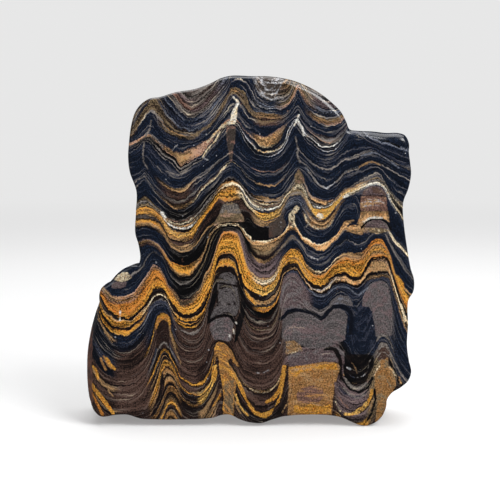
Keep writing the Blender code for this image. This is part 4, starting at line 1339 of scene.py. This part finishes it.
# %% Helpers for node trees
class Sheet:
    """A node tree, with short ways to add and join nodes."""

    def __init__(self, tree):
        self.tree = tree

    def feed(self, socket, value):
        if isinstance(value, bpy.types.NodeSocket):
            self.tree.links.new(value, socket)
        else:
            socket.default_value = value

    def add(self, kind, **settings):
        node = self.tree.nodes.new(kind if "Node" in kind else "ShaderNode" + kind)
        for name, value in settings.items():
            setattr(node, name, value)
        return node

    def math(self, operation, *values):
        node = self.add("Math", operation=operation)
        for socket, value in zip(node.inputs, values):
            self.feed(socket, value)
        return node.outputs[0]

    def mix(self, share, a, b, blend="MIX"):
        node = self.add("Mix", data_type="RGBA", blend_type=blend)
        for index, value in zip((0, 6, 7), (share, a, b)):
            self.feed(node.inputs[index], value)
        return node.outputs[2]

    def step(self, value, low, high):
        node = self.add("MapRange", interpolation_type="SMOOTHSTEP")
        for index, part in zip((0, 1, 2), (value, low, high)):
            self.feed(node.inputs[index], part)
        return node.outputs[0]

    def value(self, name, output="Fac"):
        return self.add("Attribute", attribute_name=name).outputs[output]

    def noise(self, place, scale, detail=2.0, roughness=0.5):
        node = self.add("TexNoise")
        self.feed(node.inputs["Vector"], place)
        node.inputs["Scale"].default_value = scale
        node.inputs["Detail"].default_value = detail
        node.inputs["Roughness"].default_value = roughness
        return node.outputs["Fac"]

    def ramp(self, value, stops):
        node = self.add("ValToRGB")
        ramp = node.color_ramp
        ramp.elements[0].position, ramp.elements[-1].position = 0.0, 1.0
        for place, colour in stops[1:-1]:
            ramp.elements.new(place)
        for element, (place, colour) in zip(ramp.elements, stops):
            element.position = place
            element.color = (*colour, 1.0)
        self.feed(node.inputs[0], value)
        return node.outputs[0]


# %% Read the sections
MOST_STOPS = 31
BED_NAMES = list(CONTACTS) + ["foot"]


def read_run(text):
    """Turns "navy 0-30, gold 40" into stops (share, pigment)."""
    stops = []
    for part in text.split(","):
        pigment, place = part.split()
        ends = [float(value) / 100 for value in place.split("-")]
        stops += [(share, pigment) for share in ends]
    return stops


def run_of(bed, station):
    """The bed's run at the station, or at the nearest station that has one."""
    order = list(STATIONS)
    here = order.index(station)
    nearest = min(BEDS[bed], key=lambda name: (abs(order.index(name) - here), order.index(name)))
    return read_run(BEDS[bed][nearest])


def section(station):
    """The station's stops as (age, pigment), from the crown to the foot."""
    stops = []
    for k, bed in enumerate(BED_NAMES):
        run = run_of(bed, station)
        if run[0][0] > 0:
            run = [(0.0, run[0][1])] + run
        if run[-1][0] < 1:
            run = run + [(1.0, run[-1][1])]
        stops += [(k + share, pigment) for share, pigment in run]
    return stops


def plain(stops):
    """The stops without those that lie inside a plain stretch."""
    kept = [stops[0]]
    for before, stop, after in zip(stops, stops[1:], stops[2:]):
        if not before[1] == stop[1] == after[1]:
            kept.append(stop)
    return kept + [stops[-1]]


def cut_in_ramps(stops):
    """Groups of at most MOST_STOPS stops; each group starts where the last one ends."""
    groups = []
    while len(stops) > 1:
        groups.append(stops[:MOST_STOPS])
        stops = stops[MOST_STOPS - 1:]
    return groups


print("stops in the section of trough_b:", len(plain(section("trough_b"))))

# %% A node group for each section
def section_group(name, stops):
    """A node group that turns a place along the section into its colour."""
    tree = bpy.data.node_groups.new(name, "ShaderNodeTree")
    tree.interface.new_socket("Place", in_out="INPUT", socket_type="NodeSocketFloat")
    tree.interface.new_socket("Color", in_out="OUTPUT", socket_type="NodeSocketColor")
    sheet = Sheet(tree)
    place = tree.nodes.new("NodeGroupInput").outputs[0]
    colour = None
    for group in cut_in_ramps(stops):
        start, end = group[0][0], group[-1][0]
        share = sheet.math("MULTIPLY_ADD", place, 1 / (end - start), -start / (end - start))
        piece = sheet.ramp(share, [((at - start) / (end - start), linear(pigment)) for at, pigment in group])
        if colour is None:
            colour = piece
        else:
            colour = sheet.mix(sheet.math("GREATER_THAN", place, start), colour, piece)
    tree.links.new(colour, tree.nodes.new("NodeGroupOutput").inputs[0])
    return tree


section_groups = {name: section_group("section_" + name, plain(section(name))) for name in STATIONS}
print("section groups:", len(section_groups))

# %% The beds, joined from their sections
def use_group(sheet, tree, place):
    node = sheet.add("Group", node_tree=tree)
    sheet.feed(node.inputs[0], place)
    return node.outputs[0]


def painted_beds(sheet, place):
    total = (0.0, 0.0, 0.0, 1.0)
    for k, station in enumerate(STATIONS):
        if k % CHANNELS == 0:
            group = sheet.add("SeparateColor")
            sheet.feed(group.inputs[0], sheet.value(f"stations_{k // CHANNELS}", "Color"))
        colour = use_group(sheet, section_groups[station], place)
        total = sheet.mix(group.outputs[k % CHANNELS], total, colour, "ADD")
    return total


# %% [markdown]
# ## Grain, crinkle and polish
# Real beds are never ruled lines. The mat's surface was crinkled at the scale of a millimetre, so
# the age is shifted by noise, measured in millimetres and divided by the bed's own thickness.
# Inside every bed lie laminae too fine to draw one by one: they are a noise that is stretched
# along the bed. Then the mineral grains speckle it all. The polish is a low roughness.

# %% How lively each bed is: stray laminae, waver of its contacts in millimetres, and speckle
LIVELY = {
    "crown_sag": (0.9, 2.6, 1.0),
    "crown_navy_foot": (0.8, 2.4, 0.9),
    "olive_foot": (0.95, 3.2, 1.2),
    "lens_top": (0.4, 1.6, 0.8),
    "lens_foot": (0.2, 1.0, 0.6),
    "first_hairline": (0.2, 0.6, 0.8),
    "second_hairline": (0.2, 0.6, 0.8),
    "upper_navy": (0.3, 1.0, 0.8),
    "tan_sag_foot": (0.35, 1.0, 0.8),
    "white_limb": (0.35, 1.0, 0.8),
    "cream_stack_top": (0.35, 1.2, 0.7),
    "cream_stack_foot": (0.3, 1.6, 0.9),
    "upper_gold_foot": (0.2, 1.6, 0.9),
    "second_gold_foot": (0.3, 1.5, 0.9),
    "tan_bed_top": (0.2, 1.0, 0.6),
    "tan_bed_foot": (0.2, 1.4, 0.9),
    "grey_hairline": (0.2, 1.2, 0.6),
    "main_gold_top": (0.15, 1.0, 0.6),
    "main_gold_foot": (0.1, 1.6, 1.1),
    "third_gold_foot": (0.1, 1.4, 1.0),
    "fourth_gold_foot": (0.1, 1.5, 0.9),
    "brown_beds_top": (0.25, 1.6, 0.8),
    "inner_arch_top": (0.25, 1.8, 0.8),
    "gold_hairline": (0.25, 1.8, 0.9),
    "foot": (0.25, 1.8, 0.9),
}
WAVER_UNIT, SPECKLE_UNIT = 4.0, 2.0  # a ramp holds values up to 1, so these are divided first


def liveliness_stops():
    stops, last = [], LIVELY["crown_sag"]
    for k, bed in enumerate(BED_NAMES):
        last = LIVELY.get(bed, last)
        stops.append(((k + 0.5) / len(BED_NAMES), (last[0], last[1] / WAVER_UNIT, last[2] / SPECKLE_UNIT)))
    return [(0.0, stops[0][1])] + stops[:-1] + [(1.0, stops[-1][1])]


# %% Crinkle, laminae and the marks
CRINKLE = ((150.0, 1.5), (400.0, 2.0), (900.0, 1.4))  # (scale, height in millimetres)
CRINKLE_OF_LAMINAE = 0.8
WIDE_LAMINAE = {"pitch": 0.62, "along": 90.0, "detail": 1.0}
FINE_LAMINAE = {"pitch": 1.0, "along": 55.0, "detail": 2.0}
CRINKLE_OF_MARKS = 0.5
MARK_EDGE = (-0.45, 0.25)
DARK_RIM = (-0.9, -0.3)


def crinkle_height(sheet, place):
    """The crinkle of the mats in millimetres."""
    total = 0.0
    for scale, height in CRINKLE:
        wave = sheet.math("SUBTRACT", sheet.noise(place, scale, 1.0), 0.5)
        total = sheet.math("MULTIPLY_ADD", wave, height, total)
    return total


def laminae(sheet, place, crinkle, pitch, along, detail):
    """A noise drawn out along the beds, with so many laminae to a millimetre, around zero."""
    split = sheet.add("SeparateXYZ")
    sheet.feed(split.inputs[0], place)
    across = sheet.math("MULTIPLY_ADD", crinkle, CRINKLE_OF_LAMINAE, sheet.value("bed_depth"))
    joined = sheet.add("CombineXYZ")
    sheet.feed(joined.inputs[0], sheet.math("MULTIPLY", split.outputs[0], along))
    sheet.feed(joined.inputs[1], sheet.math("MULTIPLY", split.outputs[1], along))
    sheet.feed(joined.inputs[2], sheet.math("MULTIPLY", across, pitch))
    return sheet.math("SUBTRACT", sheet.noise(joined.outputs[0], 1.0, detail, 0.6), 0.5)


def shaded(sheet, colour, amount):
    """The colour, brighter or darker by the amount in doublings."""
    return sheet.mix(1.0, colour, sheet.math("POWER", 2.0, amount), "MULTIPLY")


def with_marks(sheet, colour, crinkle, streaks):
    """The colour with the masses and veins drawn over it, and how much they cover."""
    covered = 0.0
    for layer in range(LAYERS):
        edge = sheet.math("MULTIPLY_ADD", crinkle, CRINKLE_OF_MARKS, sheet.value(f"mark_{layer}"))
        pigment = sheet.value(f"mark_{layer}_pigment", "Color")
        own = sheet.mix(streaks, pigment, sheet.value(f"mark_{layer}_streak", "Color"))
        has_rim = sheet.value(f"mark_{layer}_pigment", "Alpha")
        rim = sheet.math("MULTIPLY", sheet.step(edge, *DARK_RIM), has_rim)
        colour = sheet.mix(rim, colour, paint("soot"))
        share = sheet.step(edge, *MARK_EDGE)
        colour = sheet.mix(share, colour, own)
        covered = sheet.math("MAXIMUM", covered, share)
    return colour, covered


# %% Rind, rust and pale specks
RIND_WEAR, RIND_RAGGED = 240.0, 2.4
RIND_EDGE, RIND_STRENGTH = (0.35, 0.75), 0.85
RIND_BLOTCHES, RIND_BLOTCH_EDGE = 330.0, (0.38, 0.62)
RUST = (0.95, 0.66, 0.4, 1.0)
RUST_WISPS, RUST_EDGE = 420.0, (0.5, 0.68)
SPECKS_TO_A_METRE = 150.0
SPECK_SIZE, SPECK_CUT = 0.12, -0.03


def with_rind(sheet, colour, place):
    """Red-brown weathering with a ragged edge."""
    wear = sheet.math("SUBTRACT", sheet.noise(place, RIND_WEAR, 5.0, 0.7), 0.5)
    ragged = sheet.math("MULTIPLY_ADD", wear, RIND_RAGGED, sheet.value("rind"))
    blotch = sheet.step(sheet.noise(place, RIND_BLOTCHES, 4.0, 0.7), *RIND_BLOTCH_EDGE)
    own = sheet.mix(blotch, paint("rind"), paint("umber"))
    share = sheet.math("MULTIPLY", sheet.step(ragged, *RIND_EDGE), RIND_STRENGTH)
    return sheet.mix(share, colour, own), share


def with_rust(sheet, colour, place, pale):
    """Iron staining in the pale beds, in wisps."""
    wisps = sheet.step(sheet.noise(place, RUST_WISPS, 4.0, 0.7), *RUST_EDGE)
    return sheet.mix(sheet.math("MULTIPLY", wisps, pale), colour, RUST, "MULTIPLY")


def with_specks(sheet, colour, place, dark):
    """Sparse pale crystals in the dark beds."""
    cells = sheet.add("TexVoronoi")
    sheet.feed(cells.inputs["Vector"], place)
    cells.inputs["Scale"].default_value = SPECKS_TO_A_METRE
    cell = sheet.add("SeparateColor")
    sheet.feed(cell.inputs[0], cells.outputs["Color"])
    size = sheet.math("MULTIPLY_ADD", cell.outputs[0], SPECK_SIZE, SPECK_CUT)
    spot = sheet.math("GREATER_THAN", size, cells.outputs["Distance"])
    share = sheet.math("MULTIPLY", sheet.math("MULTIPLY", spot, dark), cell.outputs[1])
    return sheet.mix(share, colour, paint("silver"))


# %% Stray laminae and grain
STRAY_EDGE = (0.06, 0.16)
THREAD_EDGE, THREAD_STRENGTH = (0.17, 0.22), 0.6
GRAIN_SCALE = 1000.0
SPECKLE_DARK, SPECKLE_MORE_WHEN_LIT = 20.0, 12.0
SPECKLE_LESS_ON_MARKS = -0.4
BANDING_DARK, BANDING_MORE_WHEN_LIT, BANDING_MORE_WHEN_LIVELY = 5.0, 8.0, 5.0
PATCH_STRENGTH = 1.3
BRIGHTEST, DIMMED = 0.9, -0.95


def with_stray_laminae(sheet, colour, fine, dark, liveliness, calm):
    """Grey laminae in the dark beds and cream threads in the liveliest."""
    stray = sheet.math("MULTIPLY", sheet.step(fine, *STRAY_EDGE), sheet.math("MULTIPLY", dark, liveliness))
    stray = sheet.math("MULTIPLY", stray, calm)
    colour = sheet.mix(stray, colour, paint("stone"))
    threads = sheet.math("MULTIPLY", sheet.step(fine, *THREAD_EDGE), liveliness)
    return sheet.mix(sheet.math("MULTIPLY", threads, THREAD_STRENGTH), colour, paint("cream"))


def speckle_of(sheet, place, lit, covered, speckle):
    grain = sheet.math("SUBTRACT", sheet.noise(place, GRAIN_SCALE, 2.0, 0.8), 0.5)
    by_light = sheet.math("MULTIPLY_ADD", lit, SPECKLE_MORE_WHEN_LIT, SPECKLE_DARK)
    strength = sheet.math("MULTIPLY", speckle, by_light)
    by_mark = sheet.math("MULTIPLY_ADD", covered, SPECKLE_LESS_ON_MARKS, 1.0)
    return sheet.math("MULTIPLY", grain, sheet.math("MULTIPLY", strength, by_mark))


def banding_of(sheet, lit, calm, liveliness):
    by_light = sheet.math("MULTIPLY_ADD", lit, BANDING_MORE_WHEN_LIT, BANDING_DARK)
    strength = sheet.math("MULTIPLY_ADD", liveliness, BANDING_MORE_WHEN_LIVELY, by_light)
    return sheet.math("MULTIPLY", calm, strength)


# %% Put the material together
PATCH_SCALE, PATCH_OF_STREAKS = 180.0, 1.2
STREAK_EDGE = (-0.02, 0.2)
CALM_ON_MARKS = -0.75
LIT_FROM, PALE_FROM = (0.012, 0.14), (0.16, 0.3)
POLISH, ROUGHER_ON_RIND = 0.2, 0.35


def wavering_age(sheet, crinkle, wide):
    """The age with crinkled, wavering contacts, and the three measures of liveliness there."""
    spread = sheet.value("bed_spread")
    age_value = sheet.math("ADD", sheet.value("bed_age"), sheet.math("DIVIDE", crinkle, spread))
    lively = sheet.add("SeparateColor")
    share = sheet.math("DIVIDE", age_value, float(len(BED_NAMES)))
    sheet.feed(lively.inputs[0], sheet.ramp(share, liveliness_stops()))
    waver = sheet.math("MULTIPLY", wide, sheet.math("MULTIPLY", lively.outputs[1], 2.0 * WAVER_UNIT))
    return sheet.math("ADD", age_value, sheet.math("DIVIDE", waver, spread)), lively.outputs


def stone_sheet():
    material = bpy.data.materials.new("banded_stone_polished")
    material.use_nodes = True
    sheet = Sheet(material.node_tree)
    shader = material.node_tree.nodes["Principled BSDF"]
    place = sheet.add("TexCoord").outputs["Object"]
    crinkle = crinkle_height(sheet, place)
    wide = laminae(sheet, place, crinkle, **WIDE_LAMINAE)
    fine = laminae(sheet, place, crinkle, **FINE_LAMINAE)
    age_value, (liveliness, _, speckle) = wavering_age(sheet, crinkle, wide)
    colour = painted_beds(sheet, age_value)
    patchy = sheet.math("SUBTRACT", sheet.noise(place, PATCH_SCALE, 4.0, 0.6), 0.5)
    streaks = sheet.step(sheet.math("MULTIPLY_ADD", patchy, PATCH_OF_STREAKS, fine), *STREAK_EDGE)
    colour, covered = with_marks(sheet, colour, crinkle, streaks)
    calm = sheet.math("MULTIPLY_ADD", covered, CALM_ON_MARKS, 1.0)
    brightness = sheet.add("RGBToBW")
    sheet.feed(brightness.inputs[0], colour)
    lit = sheet.step(brightness.outputs[0], *LIT_FROM)
    dark = sheet.math("SUBTRACT", 1.0, lit)
    colour = with_stray_laminae(sheet, colour, fine, dark, liveliness, calm)
    colour = with_rust(sheet, colour, place, sheet.step(brightness.outputs[0], *PALE_FROM))
    colour = with_specks(sheet, colour, place, dark)
    total = speckle_of(sheet, place, lit, covered, speckle)
    total = sheet.math("MULTIPLY_ADD", fine, banding_of(sheet, lit, calm, liveliness), total)
    total = sheet.math("MULTIPLY_ADD", patchy, PATCH_STRENGTH, total)
    colour = shaded(sheet, colour, sheet.math("ADD", sheet.math("MINIMUM", total, BRIGHTEST), DIMMED))
    colour, weathered = with_rind(sheet, colour, place)
    sheet.feed(shader.inputs["Base Color"], colour)
    sheet.feed(shader.inputs["Roughness"], sheet.math("MULTIPLY_ADD", weathered, ROUGHER_ON_RIND, POLISH))
    return material


stone_material = stone_sheet()
print("nodes in the stone's material:", len(stone_material.node_tree.nodes))

# %% [markdown]
# ## The stone as one mesh
# The points and faces become one closed mesh. Its normals are made consistent, and it is shaded
# smooth, because every edge of a polished stone is a small radius and not a crease.

# %% Build the mesh and store the bed values on its points
def stone_object():
    data = bpy.data.meshes.new("polished_stromatolite")
    data.from_pydata((stone_points * MM).tolist(), [], stone_faces)
    shape = bmesh.new()
    shape.from_mesh(data)
    bmesh.ops.recalc_face_normals(shape, faces=shape.faces)
    shape.to_mesh(data)
    shape.free()
    data.shade_smooth()
    for name, values in point_values.items():
        kind = "FLOAT" if values.ndim == 1 else "FLOAT_COLOR"
        field = "value" if values.ndim == 1 else "color"
        layer = data.attributes.new(name, kind, "POINT")
        layer.data.foreach_set(field, values.astype(np.float32).ravel())
    made = bpy.data.objects.new("polished_stromatolite", data)
    bpy.context.scene.collection.objects.link(made)
    return made


stone = stone_object()

# %% [markdown]
# ## Pits in the rind
# Where the rind was left on, weather has eaten it into shallow pits. They repeat all over the west
# flank, the foot and the hollows of the back, so Geometry Nodes sink them: each cell of a Voronoi
# pattern is one pit, which moves the surface inwards along its normal as far as the rind's share
# allows. The polished face has no rind, so it stays flat.

# %% A tree of nodes that sinks the pits
PIT_DEPTH = 0.0015
PITS_TO_A_METRE = 135.0
PIT_SEED = 7.0
PIT_RIM_TO_FLOOR = (0.55, 0.1)  # distances from a cell's middle, as shares of a cell


def pits_tree():
    tree = bpy.data.node_groups.new("rind_pits", "GeometryNodeTree")
    sockets = (("Stone", "Geometry"), ("Pit depth", "Float"), ("Pits to a metre", "Float"),
               ("Seed", "Float"), ("Finish", "Material"))
    for name, kind in sockets:
        tree.interface.new_socket(name, in_out="INPUT", socket_type="NodeSocket" + kind)
    tree.interface.new_socket("Stone", in_out="OUTPUT", socket_type="NodeSocketGeometry")
    sheet = Sheet(tree)
    given = sheet.add("NodeGroupInput").outputs
    cells = sheet.add("TexVoronoi", voronoi_dimensions="4D")
    sheet.feed(cells.inputs["Vector"], sheet.add("GeometryNodeInputPosition").outputs[0])
    sheet.feed(cells.inputs["W"], given["Seed"])
    sheet.feed(cells.inputs["Scale"], given["Pits to a metre"])
    rind = sheet.add("GeometryNodeInputNamedAttribute", data_type="FLOAT")
    rind.inputs["Name"].default_value = "rind"
    bowl = sheet.step(cells.outputs["Distance"], *PIT_RIM_TO_FLOOR)
    deep = sheet.math("MULTIPLY", sheet.math("MULTIPLY", bowl, rind.outputs[0]), given["Pit depth"])
    inward = sheet.add("VectorMath", operation="SCALE")
    sheet.feed(inward.inputs[0], sheet.add("GeometryNodeInputNormal").outputs[0])
    sheet.feed(inward.inputs["Scale"], sheet.math("MULTIPLY", deep, -1.0))
    sunk = sheet.add("GeometryNodeSetPosition")
    sheet.feed(sunk.inputs["Geometry"], given["Stone"])
    sheet.feed(sunk.inputs["Offset"], inward.outputs[0])
    solid = sheet.add("GeometryNodeRealizeInstances")
    sheet.feed(solid.inputs[0], sunk.outputs[0])
    finished = sheet.add("GeometryNodeSetMaterial")
    sheet.feed(finished.inputs["Geometry"], solid.outputs[0])
    sheet.feed(finished.inputs["Material"], given["Finish"])
    sheet.feed(sheet.add("NodeGroupOutput").inputs[0], finished.outputs[0])
    return tree


# %% Sink the pits and keep the result as a plain mesh
def sink_pits(made, values):
    modifier = made.modifiers.new("rind_pits", "NODES")
    modifier.node_group = pits_tree()
    for socket in modifier.node_group.interface.items_tree:
        if socket.in_out == "INPUT" and socket.name in values:
            modifier[socket.identifier] = values[socket.name]
    depsgraph = bpy.context.evaluated_depsgraph_get()
    pitted = bpy.data.meshes.new_from_object(
        made.evaluated_get(depsgraph), preserve_all_data_layers=True, depsgraph=depsgraph)
    made.modifiers.clear()
    made.data = pitted
    pitted.name = "polished_stromatolite"


sink_pits(stone, {
    "Pit depth": PIT_DEPTH, "Pits to a metre": PITS_TO_A_METRE, "Seed": PIT_SEED, "Finish": stone_material})
print("triangles:", sum(len(face.vertices) - 2 for face in stone.data.polygons))
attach(stone, "root")
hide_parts("stromatolite")

# %% [markdown]
# ## The studio
# A polished face shows the room as much as the stone, so the lights are placed by what they
# mirror. The face mirrors whatever lies low in front of it, and that is left dark. One big soft
# light high on the right gives the form and the bright line along the upper rims, and a weak one
# on the left opens the shadows.

# %% Floor: lit paper near the slab, which fades into an even pale grey
FLOOR_HALF = 4.0
LIT_REACH = (0.62, 1.45)  # metres from the slab: lit paper up to the first, even grey past the second
PAPER = 0.64
ROOM_GREY = 0.80
PAPER_GLOW = 0.27


def floor_object():
    data = bpy.data.meshes.new("studio_floor")
    corners = [(-FLOOR_HALF, -FLOOR_HALF, 0), (FLOOR_HALF, -FLOOR_HALF, 0)]
    corners += [(FLOOR_HALF, FLOOR_HALF, 0), (-FLOOR_HALF, FLOOR_HALF, 0)]
    data.from_pydata(corners, [], [(0, 1, 2, 3)])
    made = bpy.data.objects.new("studio_floor", data)
    bpy.context.scene.collection.objects.link(made)
    made.visible_glossy = False
    return made


def paper_material():
    material = bpy.data.materials.new("white_paper")
    material.use_nodes = True
    sheet = Sheet(material.node_tree)
    lit = material.node_tree.nodes["Principled BSDF"]
    lit.inputs["Base Color"].default_value = (PAPER, PAPER, PAPER, 1.0)
    lit.inputs["Emission Color"].default_value = (1.0, 1.0, 1.0, 1.0)
    lit.inputs["Emission Strength"].default_value = PAPER_GLOW
    lit.inputs["Roughness"].default_value = 1.0
    lit.inputs["Specular IOR Level"].default_value = 0.0
    far = sheet.add("Emission")
    far.inputs["Color"].default_value = (ROOM_GREY, ROOM_GREY, ROOM_GREY, 1.0)
    reach = sheet.add("VectorMath", operation="LENGTH")
    sheet.feed(reach.inputs[0], sheet.add("TexCoord").outputs["Object"])
    blend = sheet.add("MixShader")
    sheet.feed(blend.inputs[0], sheet.step(reach.outputs["Value"], *LIT_REACH))
    sheet.feed(blend.inputs[1], lit.outputs[0])
    sheet.feed(blend.inputs[2], far.outputs[0])
    sheet.feed(material.node_tree.nodes["Material Output"].inputs[0], blend.outputs[0])
    return material


floor = floor_object()
floor.data.materials.append(paper_material())

# %% Lights: place, width and height in metres, and power in watts
LIGHTS = {
    "key_light": ((0.9, -0.9, 1.2), (0.9, 0.9), 26),
    "top_light": ((0.1, 0.25, 1.5), (1.6, 1.2), 22),
    "fill_light": ((-1.1, -1.2, 0.8), (1.0, 1.0), 8),
}
LIT_POINT = Vector((0, 0, 0.1))
ROOM_LIGHT = (0.06, 0.06, 0.063, 1.0)


def soft_light(name, place, size, power):
    data = bpy.data.lights.new(name, "AREA")
    data.shape = "RECTANGLE"
    data.size, data.size_y = size
    data.energy = power
    made = bpy.data.objects.new(name, data)
    made.location = place
    made.rotation_euler = (LIT_POINT - Vector(place)).to_track_quat("-Z", "Y").to_euler()
    bpy.context.scene.collection.objects.link(made)


for name, (place, size, power) in LIGHTS.items():
    soft_light(name, place, size, power)
print("lights:", ", ".join(LIGHTS))

# %% The room around the studio, as the lens sees it and as the stone does
world = bpy.data.worlds.new("studio_room")
world.use_nodes = True
bpy.context.scene.world = world
room = Sheet(world.node_tree)
seen = room.add("LightPath").outputs["Is Camera Ray"]
shade = room.mix(seen, ROOM_LIGHT, (ROOM_GREY, ROOM_GREY, ROOM_GREY, 1.0))
room.feed(world.node_tree.nodes["Background"].inputs["Color"], shade)

# %% Camera
CAMERA_DISTANCE = 1.0
CAMERA_ELEVATION = math.radians(8.0)
LOOK_AT = Vector((0.00013, 0.0, 0.11245))
LENS = 109.09
SENSOR_WIDTH = 36.0

camera_data = bpy.data.cameras.new("camera")
camera_data.lens = LENS
camera_data.sensor_width = SENSOR_WIDTH
camera = bpy.data.objects.new("camera", camera_data)
away = Vector((0.0, -math.cos(CAMERA_ELEVATION), math.sin(CAMERA_ELEVATION)))
camera.location = LOOK_AT + away * CAMERA_DISTANCE
camera.rotation_euler = (-away).to_track_quat("-Z", "Y").to_euler()
bpy.context.scene.collection.objects.link(camera)
bpy.context.scene.camera = camera
bpy.context.scene.view_settings.view_transform = "Standard"
